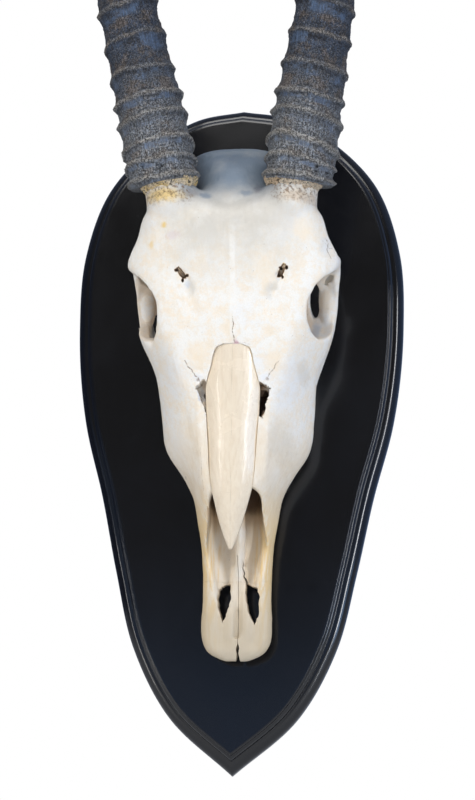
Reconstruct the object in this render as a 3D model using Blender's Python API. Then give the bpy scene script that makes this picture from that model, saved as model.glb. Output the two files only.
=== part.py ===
"""Waterbuck skull and horns on a moulded wall shield, life size.

The part hangs on a wall. The origin is the middle of the shield's back face, +Z is up and the wall lies
at +Y, so the skull looks out along -Y. Skull sizes are in centimetres: x across from its own midline, z up
the shield, and h out from the shield's front face.
"""

import math

import bmesh
import bpy
import numpy as np
from mathutils import Matrix, Vector

CM = 0.01
GAP = 0.0003

# Shield
BOARD_THICK = 0.022
BOARD_TOP = 27.1
BOARD_TIP = -27.1
BOARD_HALF_WIDTHS = [
    (BOARD_TOP, 0.0), (26.45, 3.7), (24.2, 7.5), (20.7, 10.8), (14.7, 12.9), (8.7, 13.2), (0.7, 12.4),
    (-5.3, 10.85), (-11.3, 9.55), (-17.3, 8.0), (-22.6, 5.1), (BOARD_TIP, 0.0),
]
BOARD_SIDE_STEPS = 42
# Edge moulding: how far in from the outline, and how far from the wall
MOULDING = [
    (0.0, 0.0), (0.0, 0.5), (0.12, 0.85), (0.42, 1.15), (0.8, 1.3), (0.9, 1.62), (1.1, 1.88), (1.16, 2.05),
    (1.24, 2.2),
]

# Keyhole hanger let into the back of the shield
HANGER_Z = 17.0
HANGER_SIZE = (2.4, 4.2)
HANGER_DEEP = 0.3
KEYHOLE_R = 0.45
KEYSLOT_R = 0.22
KEYSLOT_RISE = 1.3

# Skull
SKULL_X = 0.006
SECTION_STEPS = 3
BRAINCASE_RINGS = 12
RINGS_PER_CM = 1.08
PARTING_Z = -12.6
TIP_SEAM = 0.02
TIP_SPREAD = 0.14

# Horns
HORN_LENGTH = 68.0
HORN_BASE = {-1: (5.2, 16.5, 11.5), 1: (4.95, 16.5, 11.5)}
HORN_SIDES = 18
HORN_HALF = [(0, 2.38), (4, 2.36), (10, 2.12), (16, 1.88), (28, 1.5), (42, 1.12), (56, 0.72), (68, 0.26)]
HORN_DEEPER = 1.13
LEAN_OUT = {-1: (10.0, 16.5, -5.0), 1: (7.5, 15.0, -5.0)}
LEAN_FORWARD = (12.0, 25.0, 52.0)
FIRST_RINGS = [0.35, 1.45, 2.75, 4.85, 6.35, 8.5, 10.9, 13.4]
RING_GAPS = [(13.4, 2.45), (30.0, 2.4), (51.0, 1.7)]
RING_END = 51.0
RING_RELIEF = 0.5
RING_FADE = 0.78
RING_TILT_IN = math.tan(math.radians(7))
RING_TILT_FRONT = math.tan(math.radians(9))
CORE_R = 2.05


def at(x, z, h):
    """A point of the skull, from centimetres to metres."""
    return Vector((SKULL_X + x * CM, -(BOARD_THICK + h * CM), z * CM))


def clear_scene():
    for thing in list(bpy.data.objects):
        bpy.data.objects.remove(thing, do_unlink=True)


def material(name, colour, roughness, metallic=0.0):
    made = bpy.data.materials.new(name)
    made.use_nodes = True
    shader = made.node_tree.nodes["Principled BSDF"]
    shader.inputs["Base Color"].default_value = (*colour, 1.0)
    shader.inputs["Roughness"].default_value = roughness
    shader.inputs["Metallic"].default_value = metallic
    return made


def new_object(name, verts, faces, finish=None):
    mesh = bpy.data.meshes.new(name)
    mesh.from_pydata([tuple(v) for v in verts], [], faces)
    build = bmesh.new()
    build.from_mesh(mesh)
    bmesh.ops.remove_doubles(build, verts=build.verts, dist=1e-6)
    bmesh.ops.recalc_face_normals(build, faces=build.faces)
    build.to_mesh(mesh)
    build.free()
    if finish:
        mesh.materials.append(finish)
    made = bpy.data.objects.new(name, mesh)
    bpy.context.scene.collection.objects.link(made)
    return made


def loft(name, rings, finish=None):
    """A closed body through rings of equal count, each end closed by a fan to its middle."""
    count = len(rings[0])
    verts = [v for ring in rings for v in ring]
    faces = []
    for r in range(len(rings) - 1):
        for i in range(count):
            j = (i + 1) % count
            faces.append((r * count + i, r * count + j, (r + 1) * count + j, (r + 1) * count + i))
    for r in (0, len(rings) - 1):
        middle = len(verts)
        verts.append(sum((Vector(v) for v in rings[r]), Vector()) / count)
        faces += [(middle, r * count + i, r * count + (i + 1) % count) for i in range(count)]
    return new_object(name, verts, faces, finish)


def spline(knots, steps):
    """Points on a smooth curve through knots: rows of numbers, the first column rising."""
    knots = np.array(knots, float)
    s = knots[:, 0]
    slope = np.gradient(knots, s, axis=0)
    rows = []
    for t in steps:
        k = int(np.clip(np.searchsorted(s, t) - 1, 0, len(s) - 2))
        w = s[k + 1] - s[k]
        u = (t - s[k]) / w
        a, b = 2 * u**3 - 3 * u**2 + 1, u**3 - 2 * u**2 + u
        c, d = 3 * u**2 - 2 * u**3, u**3 - u**2
        rows.append(a * knots[k] + b * w * slope[k] + c * knots[k + 1] + d * w * slope[k + 1])
    return np.array(rows)


def closed_curve(points, steps):
    """Points on a closed centripetal curve through points, steps to each span."""
    points = [np.array(p, float) for p in points]
    n = len(points)
    made = []
    for i in range(n):
        p0, p1, p2, p3 = (points[(i + k - 1) % n] for k in range(4))
        t0 = 0.0
        t1 = t0 + max(np.linalg.norm(p1 - p0), 1e-4) ** 0.5
        t2 = t1 + max(np.linalg.norm(p2 - p1), 1e-4) ** 0.5
        t3 = t2 + max(np.linalg.norm(p3 - p2), 1e-4) ** 0.5
        for k in range(steps):
            t = t1 + (t2 - t1) * k / steps
            a1 = (t1 - t) / (t1 - t0) * p0 + (t - t0) / (t1 - t0) * p1
            a2 = (t2 - t) / (t2 - t1) * p1 + (t - t1) / (t2 - t1) * p2
            a3 = (t3 - t) / (t3 - t2) * p2 + (t - t2) / (t3 - t2) * p3
            b1 = (t2 - t) / (t2 - t0) * a1 + (t - t0) / (t2 - t0) * a2
            b2 = (t3 - t) / (t3 - t1) * a2 + (t - t1) / (t3 - t1) * a3
            made.append((t2 - t) / (t2 - t1) * b1 + (t - t1) / (t2 - t1) * b2)
    return made


def combine(target, others, operation):
    """Joins others to target, or cuts them out of it, with one Boolean, and removes them."""
    group = bpy.data.collections.new("operands")
    bpy.context.scene.collection.children.link(group)
    for other in others:
        group.objects.link(other)
    step = target.modifiers.new("combine", "BOOLEAN")
    step.operation = operation
    step.operand_type = "COLLECTION"
    step.collection = group
    step.solver = "EXACT"
    bpy.context.view_layer.update()
    graph = bpy.context.evaluated_depsgraph_get()
    done = bpy.data.meshes.new_from_object(target.evaluated_get(graph))
    target.modifiers.remove(step)
    target.data = done
    for other in others:
        bpy.data.objects.remove(other, do_unlink=True)
    bpy.data.collections.remove(group)
    return target


def closed_surfaces(thing):
    """The separate closed surfaces of an object's mesh, as lists of faces, largest first."""
    build = bmesh.new()
    build.from_mesh(thing.data)
    build.faces.ensure_lookup_table()
    seen, groups = set(), []
    for face in build.faces:
        if face.index in seen:
            continue
        group, stack = [], [face]
        seen.add(face.index)
        while stack:
            here = stack.pop()
            group.append(here.index)
            for edge in here.edges:
                for other in edge.link_faces:
                    if other.index not in seen:
                        seen.add(other.index)
                        stack.append(other)
        groups.append((group, sum(build.faces[i].calc_area() for i in group)))
    groups.sort(key=lambda g: -g[1])
    return build, [g[0] for g in groups]


def surface_object(name, thing, build, group, finish):
    """A new object from one closed surface of thing."""
    keep = set(group)
    faces, index, verts = [], {}, []
    for face in build.faces:
        if face.index in keep:
            for v in face.verts:
                if v.index not in index:
                    index[v.index] = len(verts)
                    verts.append(v.co.copy())
            faces.append([index[v.index] for v in face.verts])
    return new_object(name, verts, faces, finish)


def keep_largest(thing, name, finish):
    build, groups = closed_surfaces(thing)
    kept = surface_object(name, thing, build, groups[0], finish)
    build.free()
    bpy.data.objects.remove(thing, do_unlink=True)
    return kept


# Shield

def board_outline():
    """The shield's outline, anticlockwise from the tip, as (x, z) in centimetres."""
    rows = np.array(BOARD_HALF_WIDTHS)
    along = np.concatenate([[0], np.cumsum(np.hypot(np.diff(rows[:, 0]), np.diff(rows[:, 1])))])
    knots = np.column_stack([along, rows])
    points = spline(knots, np.linspace(0, along[-1], BOARD_SIDE_STEPS + 1))[:, 1:]
    right = [(w, z) for z, w in points[::-1]]
    right[0], right[-1] = (0.0, BOARD_TIP), (0.0, BOARD_TOP)
    left = [(-w, z) for w, z in right[1:-1]][::-1]
    return right + left


def inset(outline, distance):
    """The outline moved inwards, mitred at its corners."""
    made, n = [], len(outline)
    for i, here in enumerate(outline):
        before, after = Vector(outline[i - 1]), Vector(outline[(i + 1) % n])
        here = Vector(here)
        a, b = (here - before).normalized(), (after - here).normalized()
        normal = Vector((-(a.y + b.y), a.x + b.x)).normalized()
        reach = distance / max(normal.dot(Vector((-a.y, a.x))), 0.3)
        made.append(here + normal * reach)
    return made


def shield(finish):
    outline = board_outline()
    rings = [[(x * CM, -rise * CM, z * CM) for x, z in inset(outline, away)] for away, rise in MOULDING]
    return loft("shield", rings, finish)


def keyhole_outline(grow):
    """Outline of a keyhole, round at the foot with a narrow slot above, in centimetres."""
    wide, thin = KEYHOLE_R + grow, KEYSLOT_R + grow
    start = math.asin(thin / wide)
    foot = [(-wide * math.sin(a), wide * math.cos(a)) for a in np.linspace(start, 2 * math.pi - start, 17)]
    top = [(thin * math.cos(a), KEYSLOT_RISE + thin * math.sin(a)) for a in np.linspace(0, math.pi, 7)]
    return foot + top


def prism(name, near, far, finish=None):
    """A body between two flat outlines of equal count."""
    count = len(near)
    faces = [(i, (i + 1) % count, count + (i + 1) % count, count + i) for i in range(count)]
    faces += [tuple(range(count)), tuple(range(count, 2 * count))]
    return new_object(name, near + far, faces, finish)


def slab(name, outline, near, far, finish=None):
    """An outline in the shield's plane, given a depth between two distances from the wall, in metres."""
    return prism(name, *([(x * CM, -d, z * CM) for x, z in outline] for d in (near, far)), finish)


def rounded_plate(width, height, radius, grow=0.0, steps=5):
    made = []
    a, b = width / 2 - radius, height / 2 - radius
    for cx, cz, start in ((a, b, 0), (-a, b, 90), (-a, -b, 180), (a, -b, 270)):
        for k in range(steps):
            t = math.radians(start + 90 * k / (steps - 1))
            made.append((cx + (radius + grow) * math.cos(t), cz + (radius + grow) * math.sin(t)))
    return made


def hanger(board, finish):
    """The plate, its keyhole, and the pocket for both in the shield's back."""
    grow = GAP / CM
    lift = HANGER_Z
    pocket = slab("pocket", [(x, z + lift) for x, z in rounded_plate(*HANGER_SIZE, 0.5, grow)],
                  -0.002, HANGER_DEEP * CM + GAP)
    well = slab("well", [(x, z + lift - 0.5) for x, z in rounded_plate(1.3, 2.9, 0.6)], 0.001, 0.011)
    combine(board, [pocket, well], "DIFFERENCE")
    plate = slab("hanger_plate", [(x, z + lift) for x, z in rounded_plate(*HANGER_SIZE, 0.5)],
                 0.0, HANGER_DEEP * CM, finish)
    hole = slab("hole", [(x, z + lift - 1.0) for x, z in keyhole_outline(0)], -0.01, 0.02)
    return combine(plate, [hole], "DIFFERENCE")


# Skull

def station(z, roof, crown, brow, cheek, under, jaw, sole, base):
    return [z, 0, roof, *crown, *brow, *cheek, *under, *jaw, *sole, 0, base]


FACE = [
    station(-18.6, 2.9, (0.4, 2.9), (0.7, 2.85), (0.95, 2.7), (0.9, 2.5), (0.7, 2.4), (0.4, 2.35), 2.35),
    station(-18.15, 3.2, (0.9, 3.2), (1.5, 3.1), (1.95, 2.8), (1.8, 2.4), (1.4, 2.15), (0.7, 2.1), 2.15),
    station(-17.3, 3.4, (1.2, 3.4), (2.05, 3.3), (2.58, 2.8), (2.4, 2.25), (1.9, 1.95), (1.0, 2.0), 2.1),
    station(-16.2, 3.5, (1.3, 3.5), (2.2, 3.4), (2.74, 2.85), (2.5, 2.2), (2.0, 1.9), (1.0, 2.0), 2.1),
    station(-14.0, 3.85, (1.2, 3.85), (2.05, 3.7), (2.62, 3.0), (2.45, 2.25), (2.0, 1.9), (1.1, 2.1), 2.2),
    station(-12.0, 4.6, (1.1, 4.6), (1.9, 4.4), (2.66, 3.2), (2.5, 2.3), (2.1, 1.9), (1.2, 2.2), 2.35),
    station(-10.0, 5.9, (1.1, 5.85), (1.85, 5.5), (2.78, 3.4), (2.65, 2.4), (2.3, 1.9), (1.4, 2.3), 2.5),
    station(-8.0, 7.2, (1.1, 7.1), (1.85, 6.7), (3.1, 3.6), (2.95, 2.5), (2.6, 1.85), (1.6, 2.4), 2.6),
    station(-6.2, 8.2, (1.3, 8.1), (2.1, 7.7), (3.42, 3.9), (3.3, 2.6), (2.9, 1.8), (1.8, 2.5), 2.7),
    station(-4.6, 8.7, (1.5, 8.6), (2.6, 8.1), (4.25, 4.2), (4.1, 2.7), (3.7, 1.6), (2.3, 2.0), 2.7),
    station(-2.8, 9.2, (1.7, 9.1), (3.0, 8.6), (5.4, 4.5), (5.3, 2.9), (4.8, 1.5), (2.9, 1.9), 2.7),
    station(0.0, 9.9, (2.1, 9.7), (3.5, 9.2), (5.85, 5.2), (5.6, 3.2), (4.95, 1.5), (3.0, 1.9), 2.8),
    station(3.0, 10.8, (2.6, 10.6), (4.4, 10.1), (6.25, 6.6), (5.7, 4.0), (4.8, 1.8), (2.9, 2.0), 3.0),
    station(5.5, 11.6, (3.1, 11.35), (5.4, 10.8), (7.35, 7.4), (6.4, 5.6), (4.4, 3.0), (2.5, 2.7), 3.3),
    station(8.0, 12.15, (3.4, 11.95), (6.2, 11.2), (7.85, 8.2), (6.6, 6.4), (3.6, 5.0), (2.0, 3.8), 3.6),
    station(10.6, 12.75, (3.6, 12.5), (6.9, 11.3), (8.2, 9.9), (6.6, 8.0), (3.6, 6.4), (1.9, 4.4), 3.8),
    station(12.4, 13.1, (3.6, 12.9), (6.2, 12.0), (7.3, 10.7), (5.4, 9.2), (3.6, 7.4), (1.9, 4.8), 3.8),
    station(14.4, 13.2, (3.4, 13.0), (5.6, 12.6), (6.5, 11.2), (5.0, 9.6), (3.6, 8.2), (1.9, 5.4), 4.2),
    station(15.7, 12.5, (2.8, 12.3), (4.4, 11.7), (5.0, 10.7), (4.3, 9.6), (3.2, 8.6), (1.6, 6.6), 5.6),
]
# Braincase: z, roof, shoulder, temple, side, underside and base
BRAINCASE = [
    (9.5, 9.9, (1.6, 9.6), (2.9, 8.2), (3.2, 6.6), (2.3, 4.6), 4.2),
    (13.0, 11.5, (1.7, 11.2), (3.2, 9.2), (4.1, 7.0), (2.9, 3.8), 3.2),
    (15.7, 12.1, (1.5, 11.85), (2.75, 9.8), (4.3, 7.2), (3.0, 3.7), 3.0),
    (17.5, 11.4, (1.6, 11.1), (3.1, 9.1), (4.5, 6.7), (3.2, 3.4), 2.9),
    (19.1, 10.1, (1.6, 9.85), (3.3, 8.4), (4.4, 6.2), (3.2, 3.2), 2.7),
    (19.9, 9.0, (1.5, 8.8), (3.0, 7.6), (3.9, 5.9), (2.9, 3.4), 2.9),
    (20.45, 7.7, (1.1, 7.6), (2.1, 6.7), (2.6, 5.6), (1.9, 4.0), 3.6),
]

# Nasal bones: z, half width, height at the middle, drop to the edge, shift of the middle
NASALS = [
    (-10.5, 0.12, 6.7, 0.05, -0.2), (-9.6, 0.5, 7.15, 0.2, -0.17), (-8.4, 0.92, 7.75, 0.4, -0.13),
    (-7.2, 1.25, 8.3, 0.55, -0.08), (-6.0, 1.55, 8.75, 0.65, -0.03), (-3.0, 1.82, 9.6, 0.75, 0.05),
    (0.0, 2.0, 10.4, 0.8, 0.1), (1.2, 2.02, 10.7, 0.75, 0.12), (2.8, 1.6, 11.0, 0.5, 0.15),
    (4.2, 1.25, 11.2, 0.3, 0.18),
]
# Air passage: z, half width, floor, roof, half width at the roof
NOSE = [
    (-16.9, 0.3, 3.1, 4.2, 0.3), (-15.6, 0.65, 3.1, 4.5, 0.6), (-14.2, 1.1, 3.05, 4.8, 1.05),
    (-12.0, 1.8, 2.95, 5.4, 1.6), (-10.0, 2.1, 3.0, 6.2, 1.6), (-8.0, 2.25, 3.1, 6.7, 1.6),
    (-6.2, 2.3, 3.2, 7.2, 1.6), (-4.0, 2.4, 3.4, 7.7, 1.6), (-1.5, 2.6, 3.8, 8.6, 1.7),
    (1.2, 2.5, 4.6, 9.4, 1.7), (3.0, 1.8, 6.2, 9.2, 1.2),
]
NOSE_RINGS = 14
NASAL_THICK = 0.3
NASAL_SEAM = 0.018
NASAL_RINGS = 13

# Teeth: first z, and the length, width and middle x of each from front to back
TEETH_START = -4.9
TEETH = [
    (1.2, 1.0, 3.2), (1.5, 1.35, 3.55), (1.5, 1.6, 3.85), (2.0, 1.8, 4.05), (2.4, 1.9, 4.1), (2.6, 1.8, 3.95),
]
TOOTH_TOP = 3.2
TOOTH_CORNERS = [(1, 0.6), (0.75, 1), (-0.75, 1), (-1, 0.6), (-1, -0.6), (-0.75, -1), (0.75, -1), (1, -0.6)]

ORBIT = {"middle": (6.35, 7.8, 8.95), "half": (3.4, 2.65, 2.25), "turn": 12}
ORBIT_RIM = [
    (6.1, 7.9, 10.6), (7.05, 9.9, 10.6), (7.75, 10.95, 9.6), (7.7, 10.6, 7.9), (7.35, 8.3, 6.6),
    (7.05, 6.2, 6.8), (6.5, 4.8, 7.8), (5.9, 5.7, 9.7),
]
# Front edge of each eye socket as (x, z), carried out past the side of the skull
ORBIT_EDGES = {
    -1: [(-9.6, 10.9), (-8.15, 10.5), (-6.96, 8.96), (-6.04, 8.15), (-5.7, 7.26), (-5.84, 5.3), (-6.3, 4.5),
         (-9.6, 4.4)],
    1: [(9.6, 11.0), (8.05, 10.65), (7.42, 9.2), (6.78, 8.6), (5.96, 7.47), (5.86, 6.4), (6.3, 5.3),
        (9.6, 5.2)],
}
# Edge of the opening of the nose, down its left side and up its right
NOSE_EDGE = [
    (-1.2, -6.2), (-1.66, -6.75), (-1.74, -7.74), (-1.95, -8.53), (-2.13, -9.61), (-2.12, -10.9),
    (-2.04, -12.3), (-1.95, -13.2), (1.95, -13.2), (2.2, -12.5), (2.4, -11.0), (2.3, -9.44), (2.1, -7.93),
    (2.02, -6.55), (1.52, -6.1),
]
RIM_ACROSS = 0.5
RIM_THICK = 0.32


def section(row):
    """The closed outline of one station of the face or braincase, from its control points, as (x, h)."""
    half = [(row[i], row[i + 1]) for i in range(1, len(row), 2)]
    other = [(-x, h) for x, h in half[1:-1]][::-1]
    return half + other


def face_rows(low, high, count):
    """Face stations between two places along the skull, from the smooth curve through the named ones."""
    return spline(np.array(FACE), np.linspace(low, high, count))


def face_body():
    rings = []
    for row in face_rows(PARTING_Z, FACE[-1][0], int((FACE[-1][0] - PARTING_Z) * RINGS_PER_CM)):
        rings.append([at(x, row[0], h) for x, h in closed_curve(section(row), SECTION_STEPS)])
    return loft("face", rings)


def muzzle_tip(side):
    """Half of the flat front end of the upper jaw, up to the gap along the midline."""
    rings = []
    for row in face_rows(FACE[0][0], PARTING_Z - 2 * GAP / CM, 11):
        seam = TIP_SEAM + TIP_SPREAD * max(0.0, (-17.6 - row[0])) ** 1.5
        whole = closed_curve(section(row), SECTION_STEPS)
        half = whole[: len(whole) // 2 + 1]
        flat = [(seam, half[0][1]), *[(max(x, seam + 0.05), h) for x, h in half[1:-1]], (seam, half[-1][1])]
        rings.append([at(side * x, row[0], h) for x, h in flat])
    return loft("muzzle", rings)


def oval_ring(middle, side, up, a, b, count, power=2.0):
    """A ring of points round middle, an oval of half sizes a and b along two directions."""
    made = []
    for k in range(count):
        t = 2 * math.pi * k / count
        c, s = math.cos(t), math.sin(t)
        made.append(middle + side * (a * CM * math.copysign(abs(c) ** (2 / power), c))
                    + up * (b * CM * math.copysign(abs(s) ** (2 / power), s)))
    return made


def bar(name, path, count=8, steps=9, power=2.4, out=None):
    """A bar of bone along a path of (x, z, h, half across, half thick), the thickness lying along out."""
    knots = np.array(path, float)
    along = np.concatenate([[0], np.cumsum(np.linalg.norm(np.diff(knots[:, :3], axis=0), axis=1))])
    rows = spline(np.column_stack([along, knots]), np.linspace(0, along[-1], steps))[:, 1:]
    points = [at(*row[:3]) for row in rows]
    rings = []
    for i, row in enumerate(rows):
        ahead = (points[min(i + 1, steps - 1)] - points[max(i - 1, 0)]).normalized()
        thick = Vector(out) if out else Vector((1.0 if path[0][0] > 0 else -1.0, 0, 0))
        thick = (thick - ahead * thick.dot(ahead)).normalized()
        rings.append(oval_ring(points[i], ahead.cross(thick), thick, row[3], row[4], count, power))
    return loft(name, rings)


def orbit_rim(side):
    """The raised ring of bone round the eye, closed behind it by the bar down to the cheek arch."""
    path = [at(side * x, z, h) for x, z, h in closed_curve(ORBIT_RIM, 3)]
    count = len(path)
    verts, faces, round_it = [], [], 6
    for i, point in enumerate(path):
        ahead = (path[(i + 1) % count] - path[i - 1]).normalized()
        out = Vector((side, 0, 0))
        out = (out - ahead * out.dot(ahead)).normalized()
        verts += oval_ring(point, ahead.cross(out), out, RIM_ACROSS, RIM_THICK, round_it)
    for i in range(count):
        for k in range(round_it):
            j, m = (i + 1) % count, (k + 1) % round_it
            faces.append((i * round_it + k, i * round_it + m, j * round_it + m, j * round_it + k))
    return new_object("orbit_rim", verts, faces)


def blob(name, middle, half, turn=0.0, segments=14, rings=9):
    """An ellipsoid with half sizes across, up the shield and out from it; turn is in degrees."""
    build = bmesh.new()
    bmesh.ops.create_uvsphere(build, u_segments=segments, v_segments=rings, radius=1.0)
    spin = Matrix.Rotation(math.radians(turn), 4, "Z")
    size = Matrix.Diagonal((half[0] * CM, half[2] * CM, half[1] * CM, 1.0))
    bmesh.ops.transform(build, matrix=Matrix.Translation(at(*middle)) @ spin @ size, verts=build.verts)
    mesh = bpy.data.meshes.new(name)
    build.to_mesh(mesh)
    build.free()
    made = bpy.data.objects.new(name, mesh)
    bpy.context.scene.collection.objects.link(made)
    return made


def braincase():
    rows = np.array([[z, 0, roof, *above, *temple, *beside, *under, 0, base]
                     for z, roof, above, temple, beside, under, base in BRAINCASE])
    rings = []
    for row in spline(rows, np.linspace(rows[0, 0], rows[-1, 0], BRAINCASE_RINGS)):
        rings.append([at(x, row[0], h) for x, h in closed_curve(section(row), SECTION_STEPS)])
    return loft("braincase", rings)


def tooth(side, z, length, width, x):
    """One cheek tooth: a block with rounded corners, narrower at the crown that faces the shield."""
    rings = []
    for h, share in ((GAP / CM, 0.82), (0.35, 0.97), (TOOTH_TOP, 0.9)):
        rings.append([at(side * (x + width / 2 * share * c), z + length / 2 * share * 0.99 * s, h)
                      for c, s in TOOTH_CORNERS])
    return loft("tooth", rings)


def teeth(side):
    made, z = [], TEETH_START
    for length, width, x in TEETH:
        made.append(tooth(side, z + length / 2, length * 1.02, width, x))
        z += length
    return made


def horn_line(side, steps):
    """Middle points and directions of a horn from its root, leaning out and then forward."""
    spots = [0.0, 0.45, 1.0]
    made, point = [], Vector(HORN_BASE[side])
    last = 0.0
    for s in steps:
        share = (s + last) / 2 / HORN_LENGTH
        out = math.radians(np.interp(share, spots, LEAN_OUT[side]))
        ahead = math.radians(np.interp(share, spots, LEAN_FORWARD))
        turn = Vector((math.sin(out), math.cos(out) * math.cos(ahead), math.cos(out) * math.sin(ahead)))
        point = point + turn * (s - last)
        last = s
        ahead = Vector((side * turn.x, -turn.z, turn.y)).normalized()
        made.append((at(side * point.x, point.y, point.z), ahead))
    return made


def ring_places():
    """Distances of the growth rings from the root, wide apart up the horn and closer again near their end."""
    places, (spots, gaps) = list(FIRST_RINGS), zip(*RING_GAPS)
    while places[-1] < RING_END:
        places.append(places[-1] + float(np.interp(places[-1], spots, gaps)))
    return places[:-1]


def horn(side, finish):
    places = ring_places()
    steps, heights = [0.0], [0.6]
    for i, s in enumerate(places):
        after = places[i + 1] if i + 1 < len(places) else s + 1.7
        steps += [s, s + 0.3 * (after - s), s + 0.72 * (after - s)]
        heights += [1.0, 0.12, 0.0]
    tail = np.linspace(steps[-1], HORN_LENGTH, 9)[1:]
    steps += list(tail)
    heights += [0.0] * len(tail)
    line = horn_line(side, steps)
    rings = []
    for (point, ahead), s, height in zip(line, steps, heights):
        share = s / HORN_LENGTH
        relief = RING_RELIEF * height * max(0.0, 1 - share / RING_FADE) ** 0.5
        wide = spline(HORN_HALF, [s])[0, 1]
        deep = wide * HORN_DEEPER
        front = Vector((0, -1, 0))
        front = (front - ahead * front.dot(ahead)).normalized()
        across = Vector((-side, 0, 0))
        across = (across - ahead * across.dot(ahead) - front * across.dot(front)).normalized()
        tilt = min(1.0, s / 3.0) * (1 - share)
        ring = []
        for k in range(HORN_SIDES):
            t = 2 * math.pi * k / HORN_SIDES
            c, d = math.cos(t), math.sin(t)
            slip = (wide * c * RING_TILT_IN + deep * d * RING_TILT_FRONT) * tilt
            ring.append(point + across * ((wide + relief) * c * CM) + front * ((deep + relief) * d * CM)
                        + ahead * (slip * CM))
        rings.append(ring)
    name = "horn_right" if side > 0 else "horn_left"
    return loft(name, rings, finish)


def pedicle(side):
    """The bone stalk that the horn sheath sits on, ending flat against the sheath."""
    top, ahead = horn_line(side, [0.0])[0]
    top = top - ahead * GAP
    root = at(side * 4.1, 12.3, 9.9)
    across = Vector((1, 0, 0))
    across = (across - ahead * across.dot(ahead)).normalized()
    front = ahead.cross(across)
    shift = across * (-side * 0.45 * CM)
    rings = [oval_ring(root, across, front, 2.3, 2.2, 16)]
    for back, grow in ((1.6, 1.02), (0.6, 0.98), (0.0, 1.0)):
        middle = top + shift - ahead * back * CM
        rings.append(oval_ring(middle, across, front, CORE_R * grow, (CORE_R + 0.35) * grow, 16))
    return loft("pedicle", rings)


def side_bones(side):
    """The bones on one side of the skull that stand clear of its main body."""
    def place(*rows):
        return [(side * x, z, h, a, b) for x, z, h, a, b in rows]

    arch_path = place((4.7, 0.4, 4.3, 1.2, 0.6), (5.75, 3.4, 5.3, 1.3, 0.65), (6.95, 6.4, 6.2, 1.05, 0.5),
                      (7.35, 9.6, 6.8, 0.8, 0.42), (7.0, 12.4, 6.6, 0.65, 0.4), (5.7, 14.6, 5.9, 0.8, 0.5),
                      (4.2, 15.7, 5.4, 0.9, 0.6))
    arch = bar("arch", arch_path, steps=11)
    bulla = blob("bulla", (side * 2.8, 15.7, 3.1), (0.95, 1.5, 1.1), segments=12, rings=8)
    condyle = blob("condyle", (side * 1.65, 20.1, 3.4), (1.15, 1.2, 1.6), segments=12, rings=8)
    spur_path = place((3.9, 18.6, 5.0, 0.9, 0.5), (3.9, 18.7, 3.2, 0.75, 0.4), (3.7, 18.6, 1.6, 0.5, 0.3),
                      (3.6, 18.4, 0.5, 0.25, 0.2))
    spur = bar("spur", spur_path, steps=6)
    wing_path = place((1.5, 9.4, 4.4, 1.3, 0.25), (1.55, 9.6, 3.0, 1.1, 0.2), (1.5, 9.8, 1.9, 0.5, 0.18))
    wing = bar("wing", wing_path, steps=5)
    return [arch, orbit_rim(side), bulla, condyle, spur, wing, pedicle(side), *teeth(side)]


def base_bones():
    """The floor of the braincase and the raised crest at the back of the skull."""
    floor = bar("floor", [(0.0, 7.0, 4.4, 1.6, 1.1), (0.0, 12.0, 4.0, 1.6, 1.0), (0.0, 16.0, 3.9, 1.7, 1.1),
                          (0.0, 19.9, 3.9, 1.9, 1.5)], count=10, out=(0, -1, 0))
    crest_path = [(-4.3, 17.3, 4.9, 0.5, 0.6), (-4.05, 18.5, 6.9, 0.5, 0.7), (-2.6, 19.2, 8.7, 0.5, 0.7),
                  (0.0, 19.4, 9.2, 0.5, 0.7), (2.6, 19.2, 8.7, 0.5, 0.7), (4.05, 18.5, 6.9, 0.5, 0.7),
                  (4.3, 17.3, 4.9, 0.5, 0.6)]
    crest = bar("crest", crest_path, count=8, steps=15, out=(0, -0.3, 0.9))
    return [floor, crest]


def nasal_rows():
    rows = np.array(NASALS)
    return spline(rows, np.linspace(rows[0, 0], rows[-1, 0], NASAL_RINGS))


def nasal_strip(name, side, grow=0.0, below=0.0, above=0.0, finish=None):
    """One nasal bone as a bent plate from the seam to its free edge; grow widens it to make its own slot."""
    rings = []
    for z, half, middle, drop, shift in nasal_rows():
        half = half + grow
        seam = 0.0 if grow else NASAL_SEAM
        xs = seam + (half - seam) * np.array([0.0, 0.35, 0.7, 1.0])
        tops = [middle - drop * (x / half) ** 2 + above for x in xs]
        upper = [at(shift + side * x, z, t) for x, t in zip(xs, tops)]
        lower = [at(shift + side * x, z, t - above - NASAL_THICK - below) for x, t in zip(xs, tops)]
        rings.append(upper + lower[::-1])
    if grow:
        first, last = rings[0], rings[-1]
        more = Vector((0, 0, grow * CM))
        rings = [[p - more for p in first], *rings, [p + more for p in last]]
    return loft(name, rings, finish)


def nose_hollow():
    """The air passage: open at the front between the side walls, and closed at the back."""
    rings = []
    for z, wide, low, high, narrow in spline(NOSE, np.linspace(NOSE[0][0], NOSE[-1][0], NOSE_RINGS)):
        middle = (low + high) / 2
        right = [(narrow, high), (wide * 0.98, middle + 0.2), (wide, middle - 0.4), (wide * 0.9, low + 0.35),
                 (wide * 0.6, low)]
        left = [(-x, h) for x, h in right[::-1]]
        rings.append([at(x, z, h) for x, h in right + left])
    return loft("hollow", rings)


def punch(name, outline, low, high):
    """A cutter with an outline of (x, z) points, from one height above the shield to another."""
    return prism(name, *([at(x, z, h) for x, z in outline] for h in (low, high)))


def palate_hole(side):
    """The long opening in the palate beside the midline, pointed towards the nose tip."""
    outline = [(0.5, -12.6), (0.95, -12.5), (1.4, -12.9), (1.52, -13.8), (1.4, -14.8), (1.1, -15.8),
               (0.75, -14.9), (0.55, -13.8)]
    return punch("palate_hole", [(side * x + 0.05, z) for x, z in outline], 1.0, 5.0)


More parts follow.
